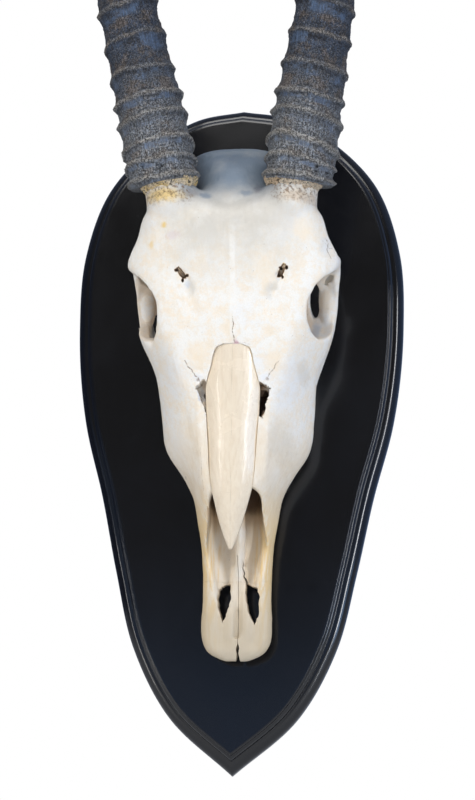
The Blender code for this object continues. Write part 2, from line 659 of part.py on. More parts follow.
def side_hole(side):
    """The three-cornered opening between the nasal, frontal and maxilla."""
    outline = [(1.75, 1.35), (2.55, 0.75), (2.5, 0.3), (2.0, -1.3), (1.7, -1.2)]
    return punch("side_hole", [(side * x + 0.1, z) for x, z in outline], 7.5, 11.5)


def brow_hole(side):
    """The small canal through the frontal bone above the eye."""
    return blob("brow_hole", (side * 3.55, 9.6, 12.1), (0.26, 0.45, 0.6), segments=8, rings=5)


def eye_hollow(side):
    turn = -side * ORBIT["turn"]
    x, z, h = ORBIT["middle"]
    return blob("eye_hollow", (side * x, z, h), ORBIT["half"], turn, 20, 12)


def skull(bone):
    body = face_body()
    pieces = [braincase(), *base_bones()]
    for side in (-1, 1):
        pieces += side_bones(side)
    combine(body, pieces, "UNION")
    cutters = [nose_hollow(), blob("spine_hole", (0, 20.7, 5.1), (1.05, 1.5, 1.0), segments=12, rings=7),
               blob("throat", (0, 8.6, 2.6), (1.2, 3.0, 1.5), segments=12, rings=8)]
    cutters.append(punch("nose_edge", NOSE_EDGE, 4.2, 12.0))
    for side in (-1, 1):
        cutters += [eye_hollow(side), punch("eye_edge", ORBIT_EDGES[side], 8.7, 14.0), palate_hole(side),
                    side_hole(side), brow_hole(side),
                    nasal_strip("slot", side, grow=0.03, below=0.05, above=0.8)]
    combine(body, cutters, "DIFFERENCE")
    keep_largest(body, "cranium", bone)
    for side in (-1, 1):
        tip = combine(muzzle_tip(side), [nose_hollow(), palate_hole(side)], "DIFFERENCE")
        keep_largest(tip, "premaxilla_right" if side > 0 else "premaxilla_left", bone)


def main():
    clear_scene()
    bone = material("bleached_bone", (0.83, 0.74, 0.6), 0.5)
    sheath = material("horn_sheath", (0.16, 0.15, 0.14), 0.6)
    lacquer = material("black_lacquer", (0.01, 0.01, 0.012), 0.22)
    steel = material("hanger_steel", (0.55, 0.55, 0.55), 0.35, 1.0)
    board = shield(lacquer)
    hanger(board, steel)
    skull(bone)
    for side in (-1, 1):
        name = "nasal_right" if side > 0 else "nasal_left"
        nasal_strip(name, side, finish=bone)
        horn(side, sheath)
    for thing in bpy.context.scene.objects:
        if thing.type == "MESH":
            thing.data.shade_smooth()
            thing.data.set_sharp_from_angle(angle=math.radians(38))


main()
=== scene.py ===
"""Dresses the waterbuck skull mount: fine bone, ringed horn sheaths, the lacquered shield and a plain studio.

Skull sizes are in centimetres: x across from the skull's midline, z up the shield, and h out from its front.
"""

import itertools
import math

import bmesh
import bpy
import numpy as np
from bpy.props import FloatProperty, FloatVectorProperty, IntProperty, PointerProperty
from mathutils import Matrix, Vector


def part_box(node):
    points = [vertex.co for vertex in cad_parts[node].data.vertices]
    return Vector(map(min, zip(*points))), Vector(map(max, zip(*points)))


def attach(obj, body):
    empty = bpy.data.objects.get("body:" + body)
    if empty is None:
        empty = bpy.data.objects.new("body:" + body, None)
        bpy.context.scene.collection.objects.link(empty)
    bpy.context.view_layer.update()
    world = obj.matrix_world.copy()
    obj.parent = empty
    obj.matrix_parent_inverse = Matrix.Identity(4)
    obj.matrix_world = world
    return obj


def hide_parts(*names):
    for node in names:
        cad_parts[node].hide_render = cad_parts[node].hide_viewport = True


bl_info = {
    "name": "Skull and horn mount",
    "version": (1, 0, 0),
    "blender": (4, 5, 0),
    "location": "3D View > Sidebar > Skull mount",
    "description": "Builds a weathered antelope skull and its horns on a lacquered wall shield",
    "category": "Add Mesh",
}

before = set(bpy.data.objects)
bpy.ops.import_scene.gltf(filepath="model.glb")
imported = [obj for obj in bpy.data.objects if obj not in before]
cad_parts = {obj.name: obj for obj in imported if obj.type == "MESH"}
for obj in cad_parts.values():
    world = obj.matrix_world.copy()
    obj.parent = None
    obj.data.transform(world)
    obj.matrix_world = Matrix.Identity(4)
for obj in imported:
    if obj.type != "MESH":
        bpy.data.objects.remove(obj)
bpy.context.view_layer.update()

CM = 0.01
BOARD_THICK = 0.022
# The skull hangs a little right of the shield's middle
SKULL_X = 0.006
# Height of the suture between the cranium and the two premaxillae
PARTING_Z = -12.6

# Outline of the shield: heights and half widths in centimetres, from the top down
BOARD_HALF_WIDTHS = [
    (27.1, 0.0), (26.45, 3.7), (24.2, 7.5), (20.7, 10.8), (14.7, 12.9), (8.7, 13.2), (0.7, 12.4),
    (-5.3, 10.85), (-11.3, 9.55), (-17.3, 8.0), (-22.6, 5.1), (-27.1, 0.0),
]
HANGER_Z = 17.0

# Horns, left -1 and right 1: root as (x, z, h), and half widths along the curve, all in centimetres
HORN_BASE = {-1: (5.2, 16.5, 11.5), 1: (4.95, 16.5, 11.5)}
HORN_LENGTH = 68.0
HORN_HALF = [(0, 2.38), (4, 2.36), (10, 2.12), (16, 1.88), (28, 1.5), (42, 1.12), (56, 0.72), (68, 0.26)]
HORN_DEEPER = 1.13
# Lean of the horns outwards and forwards at their root, middle and tip, in degrees
LEAN_OUT = {-1: (10.0, 16.5, -5.0), 1: (7.5, 15.0, -5.0)}
LEAN_FORWARD = (12.0, 25.0, 52.0)
# Places of the first growth rings, then the gaps between the rest, from the root up
FIRST_RINGS = [0.35, 1.45, 2.75, 4.85, 6.35, 8.5, 10.9, 13.4]
RING_GAPS = [(13.4, 2.45), (30.0, 2.4), (51.0, 1.7)]

CAMERA_AIM = Vector((0.0005, -0.022, 0.0232))


# Sizes and colours

def length(name, text, value):
    return FloatProperty(name=name, description=text, default=value, unit="LENGTH", precision=4)


def tint(name, text, value):
    return FloatVectorProperty(name=name, description=text, default=value, size=3, subtype="COLOR", min=0,
                               max=1)


class ShieldSettings(bpy.types.PropertyGroup):
    edge_gap: length("Edge clearance", "How far the fine outline stays inside the plain one", 0.00005)
    side_steps: IntProperty(name="Side steps", description="Points along each side of the outline",
                            default=150)
    lacquer: tint("Lacquer", "Colour of the black lacquer", (0.0035, 0.0035, 0.0042))
    dust: tint("Dust", "Colour of dust specks and dull marks", (0.2, 0.2, 0.22))
    steel: tint("Steel", "Colour of the hanger plate", (0.5, 0.5, 0.49))


class SkullSettings(bpy.types.PropertyGroup):
    detail: length("Bone detail", "Edge length of the fine bone surface", 0.001)
    seam: length("Suture gap", "Half the gap between the two nasal bones", 0.00001)
    cream: tint("Cream bone", "Colour of the ivory bone of the snout", (0.83, 0.72, 0.56))
    white: tint("White bone", "Colour of the bleached bone round the eyes", (0.88, 0.86, 0.81))
    ivory: tint("Ivory bone", "Colour of the warm mottling and the nasal bones", (0.88, 0.75, 0.57))
    chalk: tint("Chalky bone", "Colour of the bluish chalky patches", (0.8, 0.82, 0.85))
    # Greyer bone for a band between the horns and for fine mottling, also painted as shade in the brow
    # grooves and on the right of the face
    dusk: tint("Greyed bone", "Colour of the dustier bone between the horns", (0.62, 0.585, 0.515))
    # Darker, yellower bone for the tip of the snout, partly painted shade falling off towards the bottom;
    # also painted as shade on the right cheek
    wax: tint("Waxy bone", "Colour of the duller tip of the snout", (0.52, 0.44, 0.32))
    butter: tint("Butter bone", "Colour of the yellowed edges of the snout", (0.8, 0.57, 0.26))
    tan: tint("Tan bone", "Colour of the darker streaks", (0.6, 0.43, 0.26))
    ochre: tint("Ochre stain", "Colour of the yellow stains", (0.78, 0.55, 0.18))
    # Brown for the deepest hollows: partly dried tissue, partly painted shade
    brown: tint("Brown stain", "Colour of dried tissue in the hollows", (0.11, 0.055, 0.022))
    # Bluish grey painted as shade over the braincase behind the horns
    slate: tint("Slate film", "Colour of the dusty braincase", (0.165, 0.215, 0.275))
    enamel: tint("Enamel", "Colour of the cheek teeth", (0.72, 0.66, 0.52))


class HornSettings(bpy.types.PropertyGroup):
    relief: length("Ring relief", "Height of the growth rings", 0.005)
    ring_end: length("Ring end", "Distance from the root at which the rings stop", 0.51)
    around: IntProperty(name="Points around", description="Points round the horn", default=224)
    step: length("Step", "Distance between rows of points near the root", 0.0009)
    grey: tint("Grey sheath", "Plain colour of the sheath near its root", (0.42, 0.46, 0.51))
    soot: tint("Dark sheath", "Plain colour of the sheath further up", (0.075, 0.105, 0.165))
    # Blue painted as a sky reflection on the smooth hollows of the sheath
    slate: tint("Slate sheath", "Blue of the smooth hollows", (0.13, 0.22, 0.38))
    umber: tint("Umber sheath", "Brown of the rough flanks", (0.3, 0.215, 0.14))
    pale: tint("Worn lips", "Pale colour of the worn ring lips", (0.6, 0.56, 0.49))
    dark: tint("Pits", "Colour in the pits and cracks", (0.014, 0.012, 0.012))


class StageSettings(bpy.types.PropertyGroup):
    floor_z: length("Floor height", "Height of the floor under the shield", -0.5)
    pale: tint("Floor colour", "Colour of the plain floor", (0.82, 0.82, 0.81))
    yaw: FloatProperty(name="Camera yaw", description="Swing of the view", default=math.radians(6),
                       unit="ROTATION")
    pitch: FloatProperty(name="Camera pitch", description="Rise of the view", default=math.radians(12),
                         unit="ROTATION")
    roll: FloatProperty(name="Camera roll", description="Lean of the view", default=math.radians(1.07),
                        unit="ROTATION")
    distance: length("Camera distance", "From the aim to the camera", 1.55)
    lens: FloatProperty(name="Lens", description="Focal length in millimetres", default=87.615)
    key: FloatProperty(name="Side lights", description="Strength of each side light in watts", default=11.0)
    edge: FloatProperty(name="Edge light", description="Strength of the blue edge light in watts",
                        default=1.4)
    gleam: FloatProperty(name="Gleams", description="Strength of the two narrow low lights in watts",
                         default=1.0)
    top: FloatProperty(name="Top light", description="Strength of the top light in watts", default=17.0)


SETTINGS = {"shield_settings": ShieldSettings, "skull_settings": SkullSettings,
            "horn_settings": HornSettings, "stage_settings": StageSettings}


# Places and curves

def place(rows):
    """Skull points x, z, h in centimetres, as points in metres."""
    rows = np.asarray(rows, float)
    return np.stack([SKULL_X + rows[..., 0] * CM, -(BOARD_THICK + rows[..., 2] * CM), rows[..., 1] * CM], -1)


def unplace(points):
    """Points in metres, as skull x, z and h in centimetres."""
    return (points[:, 0] - SKULL_X) / CM, points[:, 2] / CM, (-points[:, 1] - BOARD_THICK) / CM


def at(x, z, h):
    return Vector(place((x, z, h)))


def spline(knots, steps):
    """Points on a smooth curve through knots: rows of numbers, the first column rising."""
    knots = np.array(knots, float)
    steps = np.atleast_1d(np.asarray(steps, float))
    s = knots[:, 0]
    slope = np.gradient(knots, s, axis=0)
    k = np.clip(np.searchsorted(s, steps) - 1, 0, len(s) - 2)
    w = (s[k + 1] - s[k])[:, None]
    u = (steps - s[k])[:, None] / w
    a, b = 2 * u**3 - 3 * u**2 + 1, u**3 - 2 * u**2 + u
    c, d = 3 * u**2 - 2 * u**3, u**3 - u**2
    return a * knots[k] + b * w * slope[k] + c * knots[k + 1] + d * w * slope[k + 1]


def closed_curve(points, steps):
    """Points on a closed centripetal curve through points, steps to each span."""
    p = np.array(points, float)
    p0, p1, p2, p3 = np.roll(p, 1, 0), p, np.roll(p, -1, 0), np.roll(p, -2, 0)

    def knot(a, b):
        return np.maximum(np.linalg.norm(b - a, axis=1), 1e-4)[:, None] ** 0.5

    t1 = knot(p0, p1)
    t2 = t1 + knot(p1, p2)
    t3 = t2 + knot(p2, p3)
    made = []
    for k in range(steps):
        t = t1 + (t2 - t1) * k / steps
        a1 = (t1 - t) / t1 * p0 + t / t1 * p1
        a2 = (t2 - t) / (t2 - t1) * p1 + (t - t1) / (t2 - t1) * p2
        a3 = (t3 - t) / (t3 - t2) * p2 + (t - t2) / (t3 - t2) * p3
        b1 = (t2 - t) / t2 * a1 + t / t2 * a2
        b2 = (t3 - t) / (t3 - t1) * a2 + (t - t1) / (t3 - t1) * a3
        made.append((t2 - t) / (t2 - t1) * b1 + (t - t1) / (t2 - t1) * b2)
    return np.stack(made, 1).reshape(-1, p.shape[1])


def cell_noise(points, size, seed):
    """Smooth noise from -1 to 1 at points in metres; size is one cell in centimetres, one number or three."""
    p = points / (np.asarray(size, float) * CM) + seed * 7.31
    cell = np.floor(p).astype(np.int64)
    f = p - cell
    f = f * f * (3 - 2 * f)
    total = np.zeros(len(points))
    for corner in itertools.product((0, 1), repeat=3):
        c = cell + np.array(corner)
        n = (c[:, 0] * 73856093) ^ (c[:, 1] * 19349663) ^ (c[:, 2] * 83492791) ^ (seed * 2654435)
        n = (n ^ (n >> 13)) * 1274126177
        value = ((n >> 8) & 0xFFFF) / 32767.5 - 1
        total += value * np.prod(np.where(corner, f, 1 - f), axis=1)
    return total


def rough_noise(points, size, seed, octaves=4):
    """Noise of several sizes, each half the one before."""
    size = np.asarray(size, float)
    total, weight = np.zeros(len(points)), 0.0
    for k in range(octaves):
        total += cell_noise(points, size / 2**k, seed + k) / 1.7**k
        weight += 1 / 1.7**k
    return total / weight


def smoothstep(low, high, value):
    t = np.clip((value - low) / (high - low), 0, 1)
    return t * t * (3 - 2 * t)


# Meshes

def mesh_object(name, verts, faces):
    """An object from points in metres and faces of three or four corners each."""
    mesh = bpy.data.meshes.new(name)
    mesh.from_pydata(np.asarray(verts).tolist(), [], faces if isinstance(faces, list) else faces.tolist())
    mesh.update()
    made = bpy.data.objects.new(name, mesh)
    bpy.context.scene.collection.objects.link(made)
    return made


def grid_faces(rows, count):
    """Faces of a tube of rows rings with count points each."""
    r, i = np.meshgrid(np.arange(rows - 1), np.arange(count), indexing="ij")
    j = (i + 1) % count
    quads = np.stack([r * count + i, r * count + j, (r + 1) * count + j, (r + 1) * count + i], -1)
    return quads.reshape(-1, 4)


def loft(name, rings):
    """A closed body through rings of equal count, each end closed by a fan to its middle."""
    rings = np.asarray(rings, float)
    rows, count = rings.shape[:2]
    verts = np.concatenate([rings.reshape(-1, 3), rings[0].mean(0)[None], rings[-1].mean(0)[None]])
    faces = grid_faces(rows, count).tolist()
    middle = rows * count
    for i in range(count):
        j = (i + 1) % count
        faces.append((middle, j, i))
        faces.append((middle + 1, (rows - 1) * count + i, (rows - 1) * count + j))
    return face_out(mesh_object(name, verts, faces))


def face_out(thing):
    build = bmesh.new()
    build.from_mesh(thing.data)
    bmesh.ops.recalc_face_normals(build, faces=build.faces)
    build.to_mesh(thing.data)
    build.free()
    return thing


def oval_rings(middles, sides, ups, a, b, count, power=2.0):
    """Rings of points round middles, ovals of half sizes a and b, in centimetres, along two directions."""
    t = 2 * np.pi * np.arange(count) / count
    c, s = np.cos(t), np.sin(t)
    c, s = np.copysign(np.abs(c) ** (2 / power), c), np.copysign(np.abs(s) ** (2 / power), s)
    a, b = np.asarray(a, float)[:, None, None] * CM, np.asarray(b, float)[:, None, None] * CM
    return middles[:, None] + sides[:, None] * (a * c[None, :, None]) + ups[:, None] * (b * s[None, :, None])


def unit(v):
    return v / np.maximum(np.linalg.norm(v, axis=-1, keepdims=True), 1e-12)


def bar(name, path, count=24, steps=40, power=2.3, out=None):
    """A bar of bone along a path of (x, z, h, half across, half thick), the thickness lying along out."""
    knots = np.array(path, float)
    along = np.concatenate([[0], np.cumsum(np.linalg.norm(np.diff(knots[:, :3], axis=0), axis=1))])
    rows = spline(np.column_stack([along, knots]), np.linspace(0, along[-1], steps))[:, 1:]
    points = place(rows[:, :3])
    ahead = unit(np.gradient(points, axis=0))
    thick = np.array(out if out else (1.0 if path[0][0] > 0 else -1.0, 0, 0), float)
    thick = unit(thick - ahead * (ahead @ thick)[:, None])
    return loft(name, oval_rings(points, np.cross(ahead, thick), thick, rows[:, 3], rows[:, 4], count, power))


def blob(name, middle, half, turn=0.0, segments=48, rings=32):
    """An ellipsoid of half sizes across, up and out from the shield; turn swings its front, in degrees."""
    build = bmesh.new()
    bmesh.ops.create_uvsphere(build, u_segments=segments, v_segments=rings, radius=1.0)
    spin = Matrix.Rotation(math.radians(turn), 4, "Z")
    size = Matrix.Diagonal((half[0] * CM, half[2] * CM, half[1] * CM, 1.0))
    bmesh.ops.transform(build, matrix=Matrix.Translation(at(*middle)) @ spin @ size, verts=build.verts)
    mesh = bpy.data.meshes.new(name)
    build.to_mesh(mesh)
    build.free()
    made = bpy.data.objects.new(name, mesh)
    bpy.context.scene.collection.objects.link(made)
    return made


def prism(name, near, far):
    """A body between two outlines of equal count."""
    near, far = np.asarray(near, float), np.asarray(far, float)
    n = len(near)
    faces = [(i, (i + 1) % n, n + (i + 1) % n, n + i) for i in range(n)]
    faces += [tuple(range(n)), tuple(range(n, 2 * n))]
    return face_out(mesh_object(name, np.concatenate([near, far]), faces))


def punch(name, outline, low, high):
    """A cutter with an outline of (x, z) points, from one height above the shield to another."""
    outline = np.asarray(outline, float)
    near, far = (place(np.column_stack([outline, np.full(len(outline), h)])) for h in (low, high))
    return prism(name, near, far)


def discard(things):
    for thing in things:
        bpy.data.objects.remove(thing, do_unlink=True)


def settle(thing):
    """Applies an object's modifiers."""
    bpy.context.view_layer.update()
    graph = bpy.context.evaluated_depsgraph_get()
    done = bpy.data.meshes.new_from_object(thing.evaluated_get(graph))
    thing.modifiers.clear()
    thing.data = done
    return thing


def gather(name, things):
    """One object holding copies of the meshes of things, which are removed."""
    verts, faces, first = [], [], 0
    for thing in things:
        verts.append(points_of(thing))
        faces += [[first + i for i in face.vertices] for face in thing.data.polygons]
        first += len(verts[-1])
    discard(things)
    return mesh_object(name, np.concatenate(verts), faces)


def fused(thing, size):
    """One even skin round all that thing holds."""
    step = thing.modifiers.new("skin", "REMESH")
    step.mode = "VOXEL"
    step.voxel_size = size
    return settle(thing)


def cut(target, others, operation="DIFFERENCE"):
    """Cuts others out of target, or keeps what they share, one after another, and removes them."""
    for other in others:
        step = target.modifiers.new("cut", "BOOLEAN")
        step.operation = operation
        step.object = other
        step.solver = "MANIFOLD"
        settle(target)
    discard(others)
    if not len(target.data.polygons):
        raise RuntimeError(f"{target.name} has nothing left after a cut")
    return target


def duplicate(thing, name):
    made = thing.copy()
    made.data = thing.data.copy()
    made.name = name
    bpy.context.scene.collection.objects.link(made)
    return made


def points_of(thing):
    flat = np.empty(len(thing.data.vertices) * 3, np.float32)
    thing.data.vertices.foreach_get("co", flat)
    return flat.reshape(-1, 3).astype(float)


def normals_of(thing):
    flat = np.empty(len(thing.data.vertices) * 3, np.float32)
    thing.data.vertex_normals.foreach_get("vector", flat)
    return flat.reshape(-1, 3).astype(float)


def move_points(thing, points):
    thing.data.vertices.foreach_set("co", np.asarray(points, np.float32).ravel())
    thing.data.update()


def relax(thing, times, share=0.5, where=None):
    """Evens out the points of a mesh, by a share for each point where one is given."""
    points = points_of(thing)
    share = share if where is None else share * where[:, None]
    ends = np.empty(len(thing.data.edges) * 2, np.int32)
    thing.data.edges.foreach_get("vertices", ends)
    a, b = ends.reshape(-1, 2).T
    count = np.maximum(np.bincount(np.concatenate([a, b]), minlength=len(points)), 1)[:, None]
    for _ in range(times):
        total = np.stack([np.bincount(a, points[b, k], len(points))
                          + np.bincount(b, points[a, k], len(points)) for k in range(3)], 1)
        points = points + share * (total / count - points)
    move_points(thing, points)
    return thing


def mark(thing, name, values):
    """Stores one number for each point, for the material to read."""
    layer = thing.data.attributes.new(name, "FLOAT", "POINT")
    layer.data.foreach_set("value", np.asarray(values, np.float32))


def finish_piece(thing, finish, *nodes, angle=40):
    """Gives a piece its material and its place in the model."""
    thing.data.materials.clear()
    thing.data.materials.append(finish)
    thing.data.shade_smooth()
    thing.data.set_sharp_from_angle(angle=math.radians(angle))
    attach(thing, "root")
    if nodes:
        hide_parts(*nodes)
    return thing


# Node trees

class Wiring:
    """A node tree being wired."""

    def __init__(self, tree):
        self.tree = tree

    def node(self, kind, inputs=None, **settings):
        made = self.tree.nodes.new("ShaderNode" + kind)
        for key, value in settings.items():
            setattr(made, key, value)
        for key, value in (inputs or {}).items():
            self.feed(made.inputs[key], value)
        return made

    def feed(self, socket, value):
        if isinstance(value, bpy.types.NodeSocket):
            self.tree.links.new(value, socket)
        elif hasattr(value, "__len__") and socket.type == "RGBA" and len(value) == 3:
            socket.default_value = (*value, 1.0)
        else:
            socket.default_value = value

    def maths(self, operation, a, b=0.0, clamp=False):
        made = self.node("Math", operation=operation, use_clamp=clamp)
        self.feed(made.inputs[0], a)
        self.feed(made.inputs[1], b)
        return made.outputs[0]

    def times(self, first, *others):
        """The product of all the values."""
        for other in others:
            first = self.maths("MULTIPLY", first, other)
        return first

    def vector(self, operation, a, b=(0, 0, 0), out=0):
        made = self.node("VectorMath", operation=operation)
        self.feed(made.inputs[0], a)
        self.feed(made.inputs[1], b)
        return made.outputs[out]

    def scaled(self, a, amount):
        made = self.node("VectorMath", operation="SCALE")
        self.feed(made.inputs[0], a)
        self.feed(made.inputs["Scale"], amount)
        return made.outputs[0]

    def blend(self, factor, a, b, how="MIX"):
        made = self.node("Mix", data_type="RGBA", blend_type=how)
        self.feed(made.inputs["Factor"], factor)
        for name, value in (("A", a), ("B", b)):
            socket = [s for s in made.inputs if s.name == name and s.type == "RGBA"][0]
            self.feed(socket, value)
        return [s for s in made.outputs if s.type == "RGBA"][0]

    def span(self, value, low, high, to_low=0.0, to_high=1.0):
        made = self.node("MapRange", {"Value": value, "From Min": low, "From Max": high,
                                      "To Min": to_low, "To Max": to_high}, interpolation_type="SMOOTHSTEP")
        return made.outputs[0]

    def noise(self, where, scale, detail=4.0, roughness=0.55, distortion=0.0):
        made = self.node("TexNoise", {"Vector": where, "Scale": scale, "Detail": detail,
                                      "Roughness": roughness, "Distortion": distortion})
        return made.outputs[0]

    def cells(self, where, scale, randomness=1.0):
        made = self.node("TexVoronoi", {"Vector": where, "Scale": scale, "Randomness": randomness})
        return made.outputs["Distance"]

    def read(self, name, vector=False):
        made = self.node("Attribute", attribute_name=name)
        return made.outputs["Vector" if vector else "Fac"]


def group_tree(name, inputs, outputs):
    """A new shader group with its sockets, and the wiring, input node and output node to fill it."""
    tree = bpy.data.node_groups.new(name, "ShaderNodeTree")
    kinds = {"f": "NodeSocketFloat", "v": "NodeSocketVector", "c": "NodeSocketColor"}
    for label, kind, value in inputs:
        made = tree.interface.new_socket(name=label, in_out="INPUT", socket_type=kinds[kind])
        made.default_value = value
    for label, kind in outputs:
        tree.interface.new_socket(name=label, in_out="OUTPUT", socket_type=kinds[kind])
    wires = Wiring(tree)
    return wires, tree.nodes.new("NodeGroupInput").outputs, tree.nodes.new("NodeGroupOutput").inputs


def seam_group():
    """A thin line between two places on the front of the skull: 1 on the line, 0 beside it."""
    w, given, out = group_tree("Seam line",
                               [("Position", "v", (0, 0, 0)), ("Start", "v", (0, 0, 0)),
                                ("End", "v", (0, 0, 1)), ("Width", "f", 0.0004)], [("Mask", "f")])
    run = w.vector("SUBTRACT", given["End"], given["Start"])
    away = w.vector("SUBTRACT", given["Position"], given["Start"])
    share = w.maths("DIVIDE", w.vector("DOT_PRODUCT", away, run, 1), w.vector("DOT_PRODUCT", run, run, 1),
                    clamp=True)
    gap = w.vector("DISTANCE", away, w.scaled(run, share), 1)
    w.feed(out["Mask"], w.span(gap, w.times(given["Width"], 0.35), given["Width"], 1.0, 0.0))
    return w.tree


def spot_group():
    """A soft, uneven round mark."""
    w, given, out = group_tree("Soft mark",
                               [("Position", "v", (0, 0, 0)), ("Middle", "v", (0, 0, 0)),
                                ("Size", "v", (0.01, 1.0, 0.01)), ("Softness", "f", 0.6)], [("Mask", "f")])
    away = w.vector("DIVIDE", w.vector("SUBTRACT", given["Position"], given["Middle"]), given["Size"])
    far = w.vector("LENGTH", away, out=1)
    rough = w.noise(given["Position"], 260.0, 3.0, 0.6)
    far = w.maths("ADD", far, w.times(w.maths("SUBTRACT", rough, 0.5), 0.9))
    w.feed(out["Mask"], w.span(far, w.maths("SUBTRACT", 1.0, given["Softness"]), 1.0, 1.0, 0.0))
    return w.tree


def bone_group():
    """Weathered bone: blotches, lengthwise streaks, fine pores, grain and specks."""
    w, given, out = group_tree(
        "Weathered bone",
        [("Position", "v", (0, 0, 0)), ("Scale", "f", 1.0), ("Streak length", "f", 0.07)],
        [("Blotch", "f"), ("Streak", "f"), ("Pores", "f"), ("Grain", "f"), ("Specks", "f")])
    here = w.scaled(given["Position"], given["Scale"])
    w.feed(out["Blotch"], w.span(w.noise(here, 38.0, 5.0, 0.62, 0.6), 0.34, 0.68))
    split = w.node("SeparateXYZ", {0: here})
    long = w.node("CombineXYZ",
                  {"X": split.outputs[0], "Y": split.outputs[1],
                   "Z": w.times(split.outputs[2], given["Streak length"])}).outputs[0]
    w.feed(out["Streak"], w.span(w.noise(long, 420.0, 5.0, 0.6, 0.3), 0.36, 0.66))
    fine = w.noise(here, 1500.0, 3.0, 0.6)
    pits = w.span(w.cells(here, 900.0), 0.05, 0.22, 1.0, 0.0)
    where = w.span(w.noise(here, 120.0, 3.0), 0.5, 0.66)
    w.feed(out["Pores"], w.times(pits, where))
    w.feed(out["Grain"], fine)
    dots = w.span(w.cells(here, 230.0), 0.035, 0.075, 1.0, 0.0)
    w.feed(out["Specks"], w.times(dots, w.span(w.noise(here, 75.0, 2.0), 0.54, 0.6)))
    return w.tree


def wear_group():
    """Dust specks and long faint scuffs on a polished surface."""
    w, given, out = group_tree("Dust and scuffs", [("Position", "v", (0, 0, 0)), ("Amount", "f", 0.5)],
                               [("Specks", "f"), ("Scuffs", "f"), ("Haze", "f")])
    where = w.noise(given["Position"], 9.0, 3.0)
    specks = w.span(w.cells(given["Position"], 210.0), 0.03, 0.07, 1.0, 0.0)
    specks = w.times(specks, w.span(where, w.maths("SUBTRACT", 1.05, given["Amount"]), 0.75))
    w.feed(out["Specks"], specks)
    turn = w.node("Mapping",
                  {"Vector": given["Position"], "Rotation": (0.0, 0.35, 0.0), "Scale": (1.0, 1.0, 0.03)})
    lines = w.span(w.noise(turn.outputs[0], 900.0, 2.0, 0.5), 0.7, 0.78)
    w.feed(out["Scuffs"], w.times(lines, given["Amount"]))
    w.feed(out["Haze"], w.noise(given["Position"], 14.0, 4.0, 0.6, 0.5))
    return w.tree


GROUPS = {}


def effect(w, name, **inputs):
    """Places a shared node group in a material."""
    makers = {"seam": seam_group, "spot": spot_group, "bone": bone_group, "wear": wear_group}
    if name not in GROUPS:
        GROUPS[name] = makers[name]()
    made = w.tree.nodes.new("ShaderNodeGroup")
    made.node_tree = GROUPS[name]
    for key, value in inputs.items():
        w.feed(made.inputs[key.replace("_", " ")], value)
    return made.outputs


def new_material(name):
    """A node material, its wiring, its shader and the object's own coordinates."""
    made = bpy.data.materials.new(name)
    made.use_nodes = True
    w = Wiring(made.node_tree)
    shader = made.node_tree.nodes["Principled BSDF"]
    here = w.node("TexCoord").outputs["Object"]
    return made, w, shader, here


def bump(w, shader, height, distance, strength=1.0):
    made = w.node("Bump", {"Strength": strength, "Distance": distance, "Height": height})
    w.feed(shader.inputs["Normal"], made.outputs[0])


# Bone

# Seams on the front of the skull as (x, z) paths, each with its width in centimetres and its strength
SEAMS = [
    ([(0.2, 6.1), (0.27, 5.6), (0.2, 5.1), (0.34, 4.3)], 0.05, 0.85),
    ([(-3.43, 3.07), (-3.2, 2.6), (-2.9, 2.4), (-2.7, 2.0), (-2.45, 1.85), (-2.3, 1.5)], 0.06, 0.75),
    ([(3.58, 3.03), (3.3, 2.75), (3.2, 2.4), (2.9, 2.2), (2.75, 1.8)], 0.055, 0.6),
    ([(6.99, 12.31), (7.21, 11.9), (7.1, 11.4), (7.42, 10.78)], 0.035, 0.8),
    ([(6.8, 12.0), (7.3, 11.5), (7.5, 11.6)], 0.03, 0.7),
    ([(-1.15, 4.06), (-0.4, 4.24), (0.29, 4.27), (1.0, 4.3), (1.6, 4.1)], 0.03, 0.4),
    ([(-2.35, -3.2), (-2.3, -4.8), (-2.15, -6.4)], 0.025, 0.4),
]
